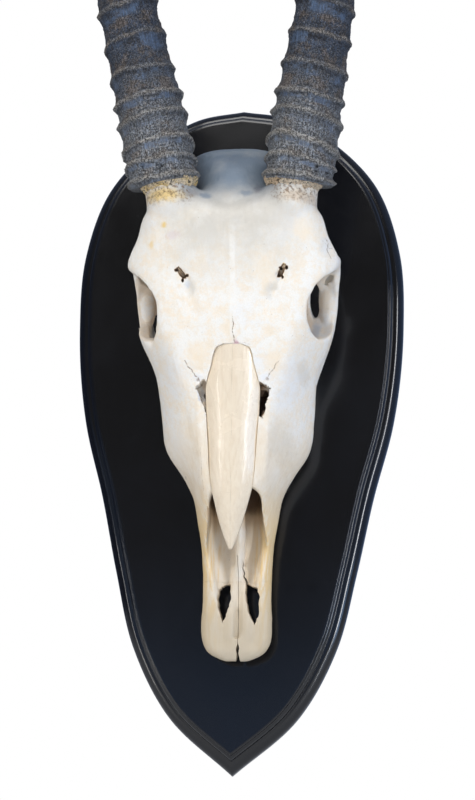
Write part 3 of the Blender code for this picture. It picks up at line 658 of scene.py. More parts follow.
# Marks on the front of the skull: x, z, half width, half height, colour, strength. Some are painted shade:
# the bluish grey marks where the brow meets the braincase, the greyed marks in the brow grooves and on the
# right of the face, and the darker mark on the right cheek; the brown marks in the brow canals are partly
# stain and partly painted shade.
SPOTS = [
    (-4.99, 12.97, 0.32, 0.34, "ochre", 0.85), (-6.0, 11.69, 0.25, 0.38, "ochre", 0.55),
    (0.44, 4.15, 0.3, 0.5, "rose", 0.7), (-1.96, 15.31, 0.7, 0.4, "slate", 0.7),
    (1.05, 15.5, 0.7, 0.4, "slate", 0.6), (1.99, 16.1, 0.55, 0.8, "umber", 0.75),
    (-4.3, 12.2, 0.8, 0.5, "rose", 0.16), (-4.9, 15.1, 2.3, 0.75, "ochre", 0.8),
    (5.3, 14.9, 2.1, 0.6, "tan", 0.5), (-2.9, 15.4, 0.8, 0.5, "umber", 0.4),
    (4.63, -4.21, 0.09, 0.22, "umber", 0.8), (-3.87, -4.84, 0.08, 0.14, "umber", 0.7),
    (7.0, 11.6, 0.6, 1.0, "ash", 0.35), (2.6, 9.6, 1.3, 1.7, "ivory", 0.45),
    (-2.5, 3.6, 1.2, 1.2, "ivory", 0.6), (3.2, 3.0, 0.9, 1.2, "ivory", 0.6),
    (-2.9, 8.2, 0.5, 0.9, "dusk", 0.5), (2.9, 8.0, 0.5, 0.8, "dusk", 0.5),
    (-2.25, 0.6, 0.42, 0.75, "ash", 0.8), (-4.2, 2.0, 1.4, 2.0, "chalk", 0.3),
    (4.5, 2.2, 1.3, 2.0, "chalk", 0.25), (-2.45, 1.85, 0.5, 0.4, "chalk", 0.7),
    (2.6, 1.9, 0.6, 0.4, "chalk", 0.7), (-2.5, 1.7, 0.16, 0.2, "umber", 0.5),
    (2.7, 1.75, 0.2, 0.16, "umber", 0.5), (6.1, 6.1, 0.55, 1.3, "ash", 0.85),
    (6.9, 6.2, 0.5, 1.6, "ash", 0.3), (5.3, 2.5, 0.7, 1.2, "dusk", 0.4),
    (-3.75, 9.5, 0.26, 0.3, "umber", 0.9), (-3.4, 9.1, 0.24, 0.26, "umber", 0.9),
    (4.0, 9.95, 0.2, 0.2, "ochre", 0.7), (3.95, 9.65, 0.24, 0.3, "umber", 0.9),
    (3.6, 9.1, 0.3, 0.5, "ash", 0.5), (3.3, 8.4, 0.4, 0.5, "dusk", 0.6), (-3.2, 8.6, 0.35, 0.4, "ash", 0.5),
    (3.6, -2.6, 1.3, 2.2, "wax", 0.3), (5.4, 12.6, 1.3, 1.2, "ivory", 0.5),
    (-5.6, 12.4, 0.9, 0.8, "ivory", 0.25),
]
FIXED = {"rose": (0.52, 0.24, 0.32), "umber": (0.2, 0.11, 0.05), "ash": (0.52, 0.57, 0.64)}
# The pale, slightly raised line down the forehead
FOREHEAD_LINE = ((0.2, 13.3), (0.2, 4.9))


def bone_material(name, bones, fair=None, bleached=False, polish=0.45, yellow=0.0):
    """Dry bone, with bleaching, seams and stains where bleached is set."""
    made, w, shader, here = new_material(name)
    detail = effect(w, "bone", Position=here, Scale=1.0, Streak_length=0.06)
    split = w.node("SeparateXYZ", {0: here}).outputs
    across = w.maths("ABSOLUTE", w.maths("SUBTRACT", split[0], SKULL_X))
    colour = w.blend(w.times(detail["Streak"], 0.2 + yellow), bones.cream, bones.tan)
    colour = w.blend(w.times(detail["Blotch"], 0.5), colour, fair or bones.white)
    edge = w.maths("ADD", w.times(detail["Streak"], 0.012), across)
    butter = w.times(w.span(edge, 0.018, 0.032), w.span(split[2], -0.045, -0.1))
    colour = w.blend(w.times(butter, 0.88), colour, bones.butter)
    # The snout darkens towards its tip: partly its yellower tone, partly painted shade
    colour = w.blend(w.span(split[2], -0.115, -0.165, 0.0, 0.85), colour, bones.wax)
    height = w.maths("ADD", w.times(detail["Streak"], 0.5), w.times(detail["Grain"], 0.5))
    height = w.maths("SUBTRACT", height, w.times(detail["Pores"], 0.8))
    if bleached:
        colour = bleach(w, bones, here, split, across, detail, colour)
        colour, height = stain(w, bones, here, split, colour, height)
    colour = w.blend(w.times(detail["Pores"], 0.4), colour, FIXED["umber"])
    colour = w.blend(w.times(detail["Specks"], 0.75), colour, FIXED["umber"])
    w.feed(shader.inputs["Base Color"], colour)
    w.feed(shader.inputs["Roughness"], w.span(detail["Blotch"], 0.0, 1.0, polish - 0.05, polish + 0.12))
    shader.inputs["Specular IOR Level"].default_value = 0.45
    bump(w, shader, height, 0.00022, 0.7)
    return made


def bleach(w, bones, here, split, across, detail, colour):
    """The whiter bone from the cheeks up, finely mottled, and greyer between the horns."""
    ragged_line = w.times(w.maths("SUBTRACT", w.noise(here, 45.0, 5.0, 0.7), 0.5), 0.08)
    line = w.maths("ADD", w.maths("ADD", split[2], ragged_line), w.times(across, 0.35))
    white = w.blend(w.span(w.noise(here, 88.0, 6.0, 0.78), 0.43, 0.61, 0.04, 0.72), bones.white, bones.ivory)
    white = w.blend(w.span(w.noise(here, 24.0, 5.0, 0.6), 0.5, 0.66, 0.0, 0.35), white, bones.chalk)
    white = w.blend(w.span(w.noise(here, 210.0, 4.0, 0.7), 0.5, 0.66, 0.0, 0.4), white, bones.cream)
    dusk = w.times(w.span(split[2], 0.07, 0.14), w.span(across, 0.025, 0.06, 1.0, 0.3))
    dusk = w.times(dusk, w.span(w.noise(here, 50.0, 5.0, 0.7), 0.3, 0.6, 0.6, 1.0))
    white = w.blend(dusk, white, bones.dusk)
    white = w.blend(w.times(w.span(detail["Grain"], 0.4, 0.65), 0.22), white, bones.dusk)
    (ax, az), (bx, bz) = FOREHEAD_LINE
    ridge = effect(w, "seam", Position=w.node("CombineXYZ", {"X": split[0], "Z": split[2]}).outputs[0],
                   Start=(SKULL_X + ax * CM, 0, az * CM), End=(SKULL_X + bx * CM, 0, bz * CM),
                   Width=0.0034)["Mask"]
    ridge = w.times(ridge, ridge, w.span(split[2], 0.132, 0.11, 0.0, 1.0))
    ridge = w.times(ridge, w.span(w.noise(here, 130.0, 4.0, 0.6), 0.4, 0.6, 0.2, 0.6))
    white = w.blend(ridge, white, bones.white)
    return w.blend(w.span(line, -0.03, 0.015), colour, white)


def stain(w, bones, here, split, colour, height):
    """Seams, marks, the painted shade on the braincase, and the hollows painted tan and brown, partly as
    staining and partly as painted shade.
    """
    normal = w.node("SeparateXYZ", {0: w.node("NewGeometry").outputs["Normal"]}).outputs[1]
    front = w.span(normal, -0.35, -0.05, 1.0, 0.0)
    flat = w.node("CombineXYZ", {"X": split[0], "Z": split[2]}).outputs[0]
    shake = w.node("TexNoise", {"Vector": here, "Scale": 330.0, "Detail": 3.0}).outputs["Color"]
    flat = w.vector("ADD", flat, w.scaled(w.vector("SUBTRACT", shake, (0.5, 0.5, 0.5)), 0.0018))
    for x, z, wide, high, tone, amount in SPOTS:
        mask = effect(w, "spot", Position=flat, Middle=(SKULL_X + x * CM, 0.0, z * CM),
                      Size=(wide * CM, 1.0, high * CM), Softness=0.75)["Mask"]
        mask = w.times(mask, front, amount)
        colour = w.blend(mask, colour, FIXED.get(tone) or getattr(bones, tone))
    lines = None
    for path, width, strength in SEAMS:
        for (ax, az), (bx, bz) in zip(path, path[1:]):
            mask = effect(w, "seam", Position=flat, Start=(SKULL_X + ax * CM, 0, az * CM),
                          End=(SKULL_X + bx * CM, 0, bz * CM), Width=width * CM)["Mask"]
            mask = w.times(mask, strength)
            lines = mask if lines is None else w.maths("MAXIMUM", lines, mask)
    broken = w.span(w.noise(here, 600.0, 3.0), 0.36, 0.54, 0.15, 1.0)
    lines = w.times(lines, front, broken)
    colour = w.blend(lines, colour, FIXED["umber"])
    height = w.maths("SUBTRACT", height, w.times(lines, 1.6))
    # Painted shade: bluish grey laid over the braincase dome behind the horns, mottled by noise
    braincase_shade = w.times(w.read("braincase_shade"), w.span(w.noise(here, 60.0, 5.0, 0.6), 0.2, 0.6, 0.8, 1.0))
    colour = w.blend(braincase_shade, colour, bones.slate)
    crust = w.times(w.span(split[2], 0.141, 0.152), w.span(split[0], -0.018, -0.028))
    crust = w.maths("MAXIMUM", crust, w.times(w.span(split[2], 0.141, 0.152), w.span(split[0], 0.032, 0.042)))
    crumbs = w.span(w.noise(here, 520.0, 4.0, 0.75), 0.5, 0.6)
    colour = w.blend(w.times(crust, crumbs, 0.75), colour, FIXED["umber"])
    height = w.maths("SUBTRACT", height, w.times(crust, crumbs, 1.5))
    # The hollows of the nose, eye sockets and brow canals: tan deepening to brown, partly staining and partly
    # painted shade
    hollow = w.read("hollow")
    deep = w.span(w.maths("ADD", hollow, w.times(w.noise(here, 90.0, 5.0, 0.65), 0.3)), 0.7, 1.1)
    stain_and_shade = w.blend(deep, bones.tan, bones.brown)
    return w.blend(w.span(hollow, 0.0, 0.7, 0.0, 0.92), colour, stain_and_shade), height


def station(z, roof, crown, brow, cheek, under, jaw, sole, base):
    return [z, 0, roof, *crown, *brow, *cheek, *under, *jaw, *sole, 0, base]


FACE = [
    station(-18.6, 2.9, (0.4, 2.9), (0.7, 2.85), (0.95, 2.7), (0.9, 2.5), (0.7, 2.4), (0.4, 2.35), 2.35),
    station(-18.15, 3.2, (0.9, 3.2), (1.5, 3.1), (1.95, 2.8), (1.8, 2.4), (1.4, 2.15), (0.7, 2.1), 2.15),
    station(-17.3, 3.4, (1.2, 3.4), (2.05, 3.3), (2.58, 2.8), (2.4, 2.25), (1.9, 1.95), (1.0, 2.0), 2.1),
    station(-16.2, 3.5, (1.3, 3.5), (2.2, 3.4), (2.74, 2.85), (2.5, 2.2), (2.0, 1.9), (1.0, 2.0), 2.1),
    station(-14.0, 3.85, (1.2, 3.85), (2.05, 3.7), (2.62, 3.0), (2.45, 2.25), (2.0, 1.9), (1.1, 2.1), 2.2),
    station(-12.0, 4.6, (1.1, 4.6), (1.9, 4.4), (2.66, 3.2), (2.5, 2.3), (2.1, 1.9), (1.2, 2.2), 2.35),
    station(-10.0, 5.9, (1.1, 5.85), (1.85, 5.5), (2.78, 3.4), (2.65, 2.4), (2.3, 1.9), (1.4, 2.3), 2.5),
    station(-8.0, 7.2, (1.1, 7.1), (1.85, 6.7), (3.1, 3.6), (2.95, 2.5), (2.6, 1.85), (1.6, 2.4), 2.6),
    station(-6.2, 8.2, (1.3, 8.1), (2.1, 7.7), (3.42, 3.9), (3.3, 2.6), (2.9, 1.8), (1.8, 2.5), 2.7),
    station(-4.6, 8.7, (1.5, 8.6), (2.6, 8.1), (4.25, 4.2), (4.1, 2.7), (3.7, 1.6), (2.3, 2.0), 2.7),
    station(-2.8, 9.2, (1.7, 9.1), (3.0, 8.6), (5.4, 4.5), (5.3, 2.9), (4.8, 1.5), (2.9, 1.9), 2.7),
    station(0.0, 9.9, (2.1, 9.7), (3.5, 9.2), (5.85, 5.2), (5.6, 3.2), (4.95, 1.5), (3.0, 1.9), 2.8),
    station(3.0, 10.8, (2.6, 10.6), (4.4, 10.1), (6.25, 6.6), (5.7, 4.0), (4.8, 1.8), (2.9, 2.0), 3.0),
    station(5.5, 11.6, (3.1, 11.35), (5.4, 10.8), (7.35, 7.4), (6.4, 5.6), (4.4, 3.0), (2.5, 2.7), 3.3),
    station(8.0, 12.15, (3.4, 11.95), (6.2, 11.2), (7.85, 8.2), (6.6, 6.4), (3.6, 5.0), (2.0, 3.8), 3.6),
    station(10.6, 12.75, (3.6, 12.5), (6.9, 11.3), (8.2, 9.9), (6.6, 8.0), (3.6, 6.4), (1.9, 4.4), 3.8),
    station(12.4, 13.1, (3.6, 12.9), (6.2, 12.0), (7.3, 10.7), (5.4, 9.2), (3.6, 7.4), (1.9, 4.8), 3.8),
    station(14.4, 13.2, (3.4, 13.0), (5.6, 12.6), (6.5, 11.2), (5.0, 9.6), (3.6, 8.2), (1.9, 5.4), 4.2),
    station(15.7, 12.5, (2.8, 12.3), (4.4, 11.7), (5.0, 10.7), (4.3, 9.6), (3.2, 8.6), (1.6, 6.6), 5.6),
]
# Braincase: z, then height or (x, height) of the roof, shoulder, temple, side, underside and base
BRAINCASE = [
    (9.5, 9.9, (1.6, 9.6), (2.9, 8.2), (3.2, 6.6), (2.3, 4.6), 4.2),
    (13.0, 11.5, (1.7, 11.2), (3.2, 9.2), (4.1, 7.0), (2.9, 3.8), 3.2),
    (15.7, 12.1, (1.5, 11.85), (2.75, 9.8), (4.3, 7.2), (3.0, 3.7), 3.0),
    (17.5, 11.4, (1.6, 11.1), (3.1, 9.1), (4.5, 6.7), (3.2, 3.4), 2.9),
    (19.1, 10.1, (1.6, 9.85), (3.3, 8.4), (4.4, 6.2), (3.2, 3.2), 2.7),
    (19.9, 9.0, (1.5, 8.8), (3.0, 7.6), (3.9, 5.9), (2.9, 3.4), 2.9),
    (20.45, 7.7, (1.1, 7.6), (2.1, 6.7), (2.6, 5.6), (1.9, 4.0), 3.6),
]
# Air passage: z, half width, floor, roof, half width at the roof
NOSE = [
    (-16.9, 0.3, 3.1, 4.2, 0.3), (-15.6, 0.65, 3.1, 4.5, 0.6), (-14.2, 1.1, 3.05, 4.8, 1.05),
    (-12.0, 1.7, 2.95, 5.4, 1.55), (-10.0, 1.95, 3.0, 6.2, 1.6), (-8.0, 1.9, 3.1, 6.7, 1.55),
    (-6.2, 1.85, 3.2, 7.2, 1.5), (-4.0, 2.0, 3.4, 7.7, 1.5), (-1.5, 2.4, 3.8, 8.6, 1.7),
    (1.2, 2.5, 4.6, 9.2, 1.7), (3.0, 1.8, 6.2, 9.2, 1.2),
]
# Strips of bone along the floor of the nose, as (x, z, h, half across, half thick)
VOMER = [(0.42, -5.5, 5.6, 0.2, 1.6), (0.42, -8.5, 4.9, 0.3, 1.2), (0.36, -10.4, 4.2, 0.36, 0.8),
         (0.22, -11.8, 3.5, 0.42, 0.5), (0.17, -13.2, 3.15, 0.42, 0.35)]
STRIP = [(0.3, -11.4, 3.2, 0.2, 0.4), (0.42, -13.2, 3.2, 0.32, 0.42), (0.55, -15.0, 3.2, 0.42, 0.45),
         (0.85, -16.6, 3.15, 0.62, 0.4), (1.1, -17.6, 2.9, 0.6, 0.35)]
# Nasal bones: z, half width, height at the middle, drop to the edge, shift of the middle
NASALS = [
    (-10.5, 0.12, 6.7, 0.05, -0.2), (-9.6, 0.5, 7.15, 0.2, -0.17), (-8.4, 0.92, 7.75, 0.4, -0.13),
    (-7.2, 1.25, 8.3, 0.55, -0.08), (-6.0, 1.55, 8.75, 0.65, -0.03), (-3.0, 1.82, 9.6, 0.75, 0.05),
    (0.0, 2.0, 10.4, 0.8, 0.1), (1.2, 2.02, 10.7, 0.75, 0.12), (2.8, 1.6, 11.0, 0.5, 0.15),
    (3.7, 1.38, 11.13, 0.36, 0.17), (4.05, 1.15, 11.18, 0.26, 0.18), (4.2, 0.7, 11.2, 0.1, 0.18),
]
SLOT_GAP = {-1: 0.012, 1: 0.004}
NASAL_THICK = 0.3
ORBIT = {"middle": (6.35, 7.8, 8.95), "half": (3.4, 2.65, 2.25), "turn": 12}
ORBIT_RIM = [
    (6.1, 7.9, 10.6), (7.05, 9.9, 10.6), (7.75, 10.95, 9.6), (7.7, 10.6, 7.9), (7.35, 8.3, 6.6),
    (7.05, 6.2, 6.8), (6.5, 4.8, 7.8), (5.9, 5.7, 9.7),
]
# Front edge of each eye socket as (x, z), carried out past the side of the skull
ORBIT_EDGES = {
    -1: [(-9.6, 10.9), (-8.15, 10.5), (-6.96, 8.96), (-6.04, 8.15), (-5.7, 7.26), (-5.84, 5.3), (-6.3, 4.5),
         (-9.6, 4.4)], 1: [(9.6, 11.0), (8.05, 10.65), (7.42, 9.2), (6.78, 8.6), (5.96, 7.47), (5.86, 6.4),
                           (6.3, 5.3), (9.6, 5.2)],
}
TEETH_START = -4.9
TEETH = [(1.2, 1.0, 3.2), (1.5, 1.35, 3.55), (1.5, 1.6, 3.85), (2.0, 1.8, 4.05), (2.4, 1.9, 4.1),
         (2.6, 1.8, 3.95)]
TOOTH_TOP = 3.2
TOOTH_FOOT = 0.03


def sections(rows, steps):
    """Rings of points from rows of z and the (x, h) control points of one half."""
    rings = []
    for row in rows:
        half = row[1:].reshape(-1, 2)
        whole = np.concatenate([half, (half[1:-1] * (-1, 1))[::-1]])
        curve = closed_curve(whole, steps)
        rings.append(place(np.column_stack([curve[:, 0], np.full(len(curve), row[0]), curve[:, 1]])))
    return rings


def head_parts():
    """The overlapping bodies that fuse into the skull."""
    face = np.array(FACE)
    parts = [loft("face", sections(spline(face, np.linspace(face[0, 0], face[-1, 0], 110)), 6))]
    case = np.array([[z, 0, roof, *a, *b, *c, *d, 0, base] for z, roof, a, b, c, d, base in BRAINCASE])
    parts.append(loft("braincase", sections(spline(case, np.linspace(case[0, 0], case[-1, 0], 50)), 8)))
    parts.append(bar("floor",
                     [(0.0, 7.0, 4.4, 1.6, 1.1), (0.0, 12.0, 4.0, 1.6, 1.0), (0.0, 16.0, 3.9, 1.7, 1.1),
                      (0.0, 19.9, 3.9, 1.9, 1.5)], out=(0, -1, 0)))
    parts.append(bar("crest",
                     [(-4.3, 17.3, 4.9, 0.5, 0.6), (-4.05, 18.5, 6.9, 0.5, 0.7), (-2.6, 19.2, 8.7, 0.5, 0.7),
                      (0.0, 19.4, 9.2, 0.5, 0.7), (2.6, 19.2, 8.7, 0.5, 0.7), (4.05, 18.5, 6.9, 0.5, 0.7),
                      (4.3, 17.3, 4.9, 0.5, 0.6)], steps=70, out=(0, -0.3, 0.9)))
    for side in (-1, 1):
        parts += side_parts(side)
    return parts


def side_parts(side):
    def rows(*given):
        return [(side * x, z, h, a, b) for x, z, h, a, b in given]

    arch = bar("arch",
               rows((4.7, 0.4, 4.3, 1.2, 0.6), (5.75, 3.4, 5.3, 1.3, 0.65), (6.95, 6.4, 6.2, 1.05, 0.5),
                    (7.35, 9.6, 6.8, 0.8, 0.42), (7.0, 12.4, 6.6, 0.65, 0.4), (5.7, 14.6, 5.9, 0.8, 0.5),
                    (4.2, 15.7, 5.4, 0.9, 0.6)), steps=70)
    spur = bar("spur",
               rows((3.9, 18.6, 5.0, 0.9, 0.5), (3.9, 18.7, 3.2, 0.75, 0.4), (3.7, 18.6, 1.6, 0.5, 0.3),
                    (3.6, 18.4, 0.5, 0.25, 0.2)))
    wing = bar("wing",
               rows((1.5, 9.4, 4.4, 1.3, 0.25), (1.55, 9.6, 3.0, 1.1, 0.2), (1.5, 9.8, 1.9, 0.5, 0.18)))
    bulla = blob("bulla", (side * 2.8, 15.7, 3.1), (0.95, 1.5, 1.1))
    condyle = blob("condyle", (side * 1.65, 20.1, 3.4), (1.15, 1.2, 1.6))
    ear = bar("ear",
              rows((3.6, 15.9, 4.6, 0.6, 0.6), (4.6, 16.2, 4.9, 0.5, 0.5), (4.95, 16.3, 5.0, 0.45, 0.45)),
              out=(0, 0, 1))
    return [arch, orbit_rim(side), bulla, condyle, spur, wing, ear, pedicle(side)]


def orbit_rim(side):
    """The raised ring of bone round the eye socket."""
    path = closed_curve([(side * x, z, h) for x, z, h in ORBIT_RIM], 12)
    points = place(path)
    ahead = unit(np.roll(points, -1, 0) - np.roll(points, 1, 0))
    out = np.array((side, 0, 0), float)
    out = unit(out - ahead * (ahead @ out)[:, None])
    n = len(points)
    rings = oval_rings(points, np.cross(ahead, out), out, np.full(n, 0.5), np.full(n, 0.32), 20)
    faces = grid_faces(n + 1, 20) % (n * 20)
    return face_out(mesh_object("rim", rings.reshape(-1, 3), faces))


def horn_line(side, steps):
    """Middle points and directions of a horn, in metres, at distances from its root in centimetres."""
    point = np.array(HORN_BASE[side], float)
    middles, ways, last = [], [], 0.0
    for s in steps:
        share = (s + last) / 2 / HORN_LENGTH
        out = math.radians(np.interp(share, [0.0, 0.45, 1.0], LEAN_OUT[side]))
        ahead = math.radians(np.interp(share, [0.0, 0.45, 1.0], LEAN_FORWARD))
        turn = np.array((math.sin(out), math.cos(out) * math.cos(ahead), math.cos(out) * math.sin(ahead)))
        point = point + turn * (s - last)
        last = s
        middles.append(place((side * point[0], point[1], point[2])))
        ways.append((side * turn[0], -turn[2], turn[1]))
    return np.array(middles), unit(np.array(ways))


def pedicle(side):
    """The bone stalk that the horn sheath sits on."""
    tops, ways = horn_line(side, [0.0])
    top, ahead = tops[0] - ways[0] * 0.0004, ways[0]
    root = place((side * 4.1, 12.3, 9.9))
    across = unit(np.array((1.0, 0, 0)) - ahead * ahead[0])
    front = np.cross(ahead, across)
    middles, sizes = [root], [(2.3, 2.2)]
    for back, grow in ((1.6, 1.02), (1.1, 0.99), (0.6, 0.98), (0.0, 1.0)):
        middles.append(top - across * (side * 0.45 * CM) - ahead * back * CM)
        sizes.append((2.05 * grow, 2.4 * grow))
    n = len(middles)
    rings = oval_rings(np.array(middles), np.tile(across, (n, 1)), np.tile(front, (n, 1)),
                       [s[0] for s in sizes], [s[1] for s in sizes], 40)
    return loft("pedicle", rings)


def nose_rings():
    """Outlines of the air passage, from the lips to the eyes."""
    rings = []
    rows = np.array(NOSE)
    for z, wide, low, high, narrow in spline(rows, np.linspace(rows[0, 0], rows[-1, 0], 70)):
        middle = (low + high) / 2
        half = [(narrow, high), (wide * 0.98, middle + 0.2), (wide, middle - 0.4), (wide * 0.9, low + 0.35),
                (wide * 0.6, low)]
        ring = half + [(-x, h) for x, h in half[::-1]]
        curve = closed_curve(ring, 5)
        rings.append(place(np.column_stack([curve[:, 0], np.full(len(curve), z), curve[:, 1]])))
    return rings


def nasal_top(z, x):
    """Height of the nasal bones at x from their own middle, and their half width and shift there."""
    rows = spline(np.array(NASALS), z)
    half, middle, drop, shift = rows[:, 1], rows[:, 2], rows[:, 3], rows[:, 4]
    return middle - drop * (x / half) ** 2, half, shift


def nasal_slot(side):
    """Cuts the bed of one nasal bone, and all above it, out of the face."""
    grow, rings = SLOT_GAP[side], []
    for z in np.linspace(NASALS[0][0] - grow, NASALS[-1][0] + grow, 80):
        inside = float(np.clip(z, NASALS[0][0], NASALS[-1][0]))
        half = spline(np.array(NASALS), inside)[0, 1]
        xs = np.linspace(0, 1, 10) * half
        tops, _, shift = nasal_top(np.full(10, inside), xs)
        xs = xs * (half + grow) / half
        upper = [(shift[0] + side * x, z, t + 0.8) for x, t in zip(xs, tops)]
        lower = [(shift[0] + side * x, z, t - NASAL_THICK - 0.04) for x, t in zip(xs, tops)]
        rings.append(place(upper + lower[::-1]))
    return loft("slot", rings)


# Low ridges and shallow grooves on the front of the skull: (x, z) path, half width, and rise in centimetres
RELIEF = [
    ([(0.2, 13.3), (0.2, 9.0), (0.22, 4.9)], 0.32, 0.07), ([(-2.97, 8.0), (-2.75, 6.6)], 0.4, -0.1),
    ([(3.14, 8.0), (2.95, 6.6)], 0.4, -0.09), ([(-3.6, 9.4), (-3.2, 8.9), (-2.97, 8.0)], 0.26, -0.12),
    ([(3.8, 9.4), (3.4, 8.9), (3.14, 8.0)], 0.26, -0.12),
    ([(-4.6, 8.2), (-4.0, 5.5), (-3.8, 3.0)], 0.8, 0.08), ([(4.8, 8.2), (4.2, 5.5), (3.9, 3.0)], 0.8, 0.08),
    ([(-2.3, 13.0), (-2.6, 10.6)], 1.1, 0.1), ([(2.7, 13.0), (2.9, 10.6)], 1.1, 0.1),
    ([(-1.5, 15.2), (0.0, 14.6), (1.9, 15.3)], 0.55, -0.16),
    ([(-2.5, 0.4), (-2.35, -3.0), (-2.3, -7.0)], 0.25, 0.07),
    ([(2.75, 0.3), (2.6, -3.0), (2.45, -6.4)], 0.25, 0.08), ([(-3.5, 0.5), (-3.1, -4.0)], 0.5, -0.08),
    ([(3.7, 0.5), (3.3, -4.0)], 0.5, -0.08), ([(-1.3, -12.0), (-1.15, -15.0), (-1.05, -17.2)], 0.45, -0.14),
    ([(1.55, -12.0), (1.5, -15.0), (1.35, -17.2)], 0.45, -0.14),
]


def near_path(x, z, path):
    """Distances from points to a path on the front of the skull, in centimetres."""
    best = np.full(len(x), 1e9)
    for (ax, az), (bx, bz) in zip(path, path[1:]):
        dx, dz = bx - ax, bz - az
        t = np.clip(((x - ax) * dx + (z - az) * dz) / (dx * dx + dz * dz), 0, 1)
        best = np.minimum(best, np.hypot(x - ax - t * dx, z - az - t * dz))
    return best


def weather(thing):
    """Adds the low relief and the unevenness of real bone."""
    points, normals = points_of(thing), normals_of(thing)
    x, z, h = unplace(points)
    front = smoothstep(0.1, 0.6, -normals[:, 1]) * smoothstep(6.0, 8.0, h + np.maximum(0, -z) * 0.35)
    rise = np.zeros(len(x))
    for path, width, height in RELIEF:
        rise += height * np.exp(-(near_path(x, z, path) / width) ** 2) * front
    rise += 0.04 * rough_noise(points, 2.2, 3, 3) + 0.016 * rough_noise(points, (0.35, 0.35, 1.4), 11, 3)
    rise += 0.012 * rough_noise(points, 0.3, 21, 2)
    crumbly = np.exp(-(np.hypot(np.abs(x) - 2.5, z - 1.9) / 0.75) ** 2)
    crumbly += np.exp(-((z - 15.3) / 0.8) ** 2) * (np.abs(x) > 2.2)
    rise += 0.09 * rough_noise(points, 0.42, 33, 3) * crumbly * front
    move_points(thing, points + normals * (rise * CM)[:, None])


def note_hollows(thing):
    """Marks the points inside the nose, the eye sockets and the brow canals, painted with staining and
    painted shade, and the braincase, painted with shade.
    """
    points, normals = points_of(thing), normals_of(thing)
    x, z, h = unplace(points)
    rows = spline(np.array(NOSE), np.clip(z, NOSE[0][0], NOSE[-1][0]))
    inside = (np.abs(x) < rows[:, 1] + 0.12) & (h > rows[:, 2] - 0.15) & (h < rows[:, 3] + 0.1)
    inside &= (z > NOSE[0][0]) & (z < NOSE[-1][0])
    # Painted shade inside the nose grows towards the nasal bones, under which it lies
    deep = inside * smoothstep(-9.6, -6.2, z)
    middle, half = ORBIT["middle"], ORBIT["half"]
    away = (((np.abs(x) - middle[0]) / half[0]) ** 2 + ((z - middle[1]) / half[1]) ** 2
            + ((h - middle[2]) / half[2]) ** 2)
    socket = (away < 1.12) & (away > 0.8)
    # Deeper in the eye socket means more painted shade; the left socket also has more tan stain
    depth = smoothstep(6.6, 3.6, np.abs(x))
    warm = np.where(x < 0, 0.3, 0.1)
    deep *= 1 - 0.75 * smoothstep(-1.6, -2.0, x) * smoothstep(-2.2, -1.0, z)
    canal = np.minimum(near_path(x, z, [(-3.95, 9.75), (-3.3, 9.0)]),
                       near_path(x, z, [(4.1, 9.95), (3.75, 9.3)]))
    # The walls of the brow canals get painted shade too
    canal = smoothstep(0.5, 0.3, canal) * smoothstep(-0.9, -0.6, normals[:, 1])
    mark(thing, "hollow", np.clip(deep + socket * (warm + (1 - warm) * depth) + canal, 0, 1))
    # The braincase behind the horns, where painted shade goes
    mark(thing, "braincase_shade", 0.96 * smoothstep(13.8, 17.0, z) * smoothstep(4.6, 3.0, np.abs(x))
         * smoothstep(4.0, 7.0, h))


def ragged(outline, seed, amount=0.05, steps=5):
    """An outline with small uneven teeth, as broken bone has."""
    outline = np.array(outline, float)
    made = []
    for a, b in zip(outline, np.roll(outline, -1, 0)):
        for k in range(steps):
            made.append(a + (b - a) * k / steps)
    made = np.array(made)
    draw = np.random.default_rng(seed).uniform(-amount, amount, made.shape)
    return made + draw


PALATE_HOLES = [
    ([(-1.42, -13.2), (-1.1, -12.9), (-0.5, -12.66), (-0.4, -13.9), (-0.66, -14.9), (-1.0, -15.8),
      (-1.3, -14.9), (-1.48, -13.9)], 5),
    ([(0.7, -12.7), (1.14, -12.84), (1.65, -13.1), (1.82, -13.76), (1.72, -15.06), (1.42, -15.9),
      (0.92, -14.8), (0.72, -13.9)], 8),
]
# Clefts beside the nasal bones: outline, seed, and how deep they reach
SIDE_HOLES = [
    ([(-2.62, 1.3), (-2.36, 1.5), (-1.9, 1.85), (-1.8, 0.9), (-1.7, -1.6), (-2.0, -0.5), (-2.3, 0.3),
      (-2.6, 0.85)], 3, 9.05),
    ([(1.9, 1.75), (2.2, 1.5), (2.6, 1.3), (2.93, 1.15), (2.8, 0.52), (2.45, -0.54), (2.28, -1.2),
      (1.9, -0.6)], 4, 8.9), ([(-2.1, 0.9), (-1.8, 0.6), (-1.7, -1.4), (-1.95, -0.4)], 13, 7.0),
    ([(2.35, 1.1), (2.85, 1.0), (2.6, 0.1), (2.2, -0.9), (1.9, -0.9), (1.9, 0.3)], 14, 7.0),
]
# Small chips in the facial crests: middle as (x, z, h), and half sizes
CHIPS = [
    ((-4.95, -4.05, 4.6), (0.2, 0.16, 0.6)), ((-4.1, -5.3, 4.2), (0.2, 0.18, 0.5)),
    ((-3.6, -5.95, 4.0), (0.16, 0.2, 0.5)),
]
# The darkest depth of each eye socket, behind the edge of the brow
EYE_DEPTHS = {
    -1: ((-6.42, 7.3, 7.2), (0.3, 1.95, 1.9)),
    1: ((5.98, 8.5, 7.2), (0.42, 1.35, 2.0)),
}
# Edge of the opening of the nose, from the left to the right
NOSE_EDGE = [
    (-1.5, -6.5), (-1.66, -6.75), (-1.74, -7.74), (-1.95, -8.53), (-2.13, -9.61), (-2.12, -10.9),
    (-2.04, -12.3), (-1.95, -13.2), (1.95, -13.2), (2.2, -12.5), (2.38, -11.5), (2.42, -10.5), (2.3, -9.44),
    (2.1, -7.93), (2.02, -6.55), (1.8, -6.3), (1.52, -6.1), (1.2, -5.9), (-1.2, -6.2),
]


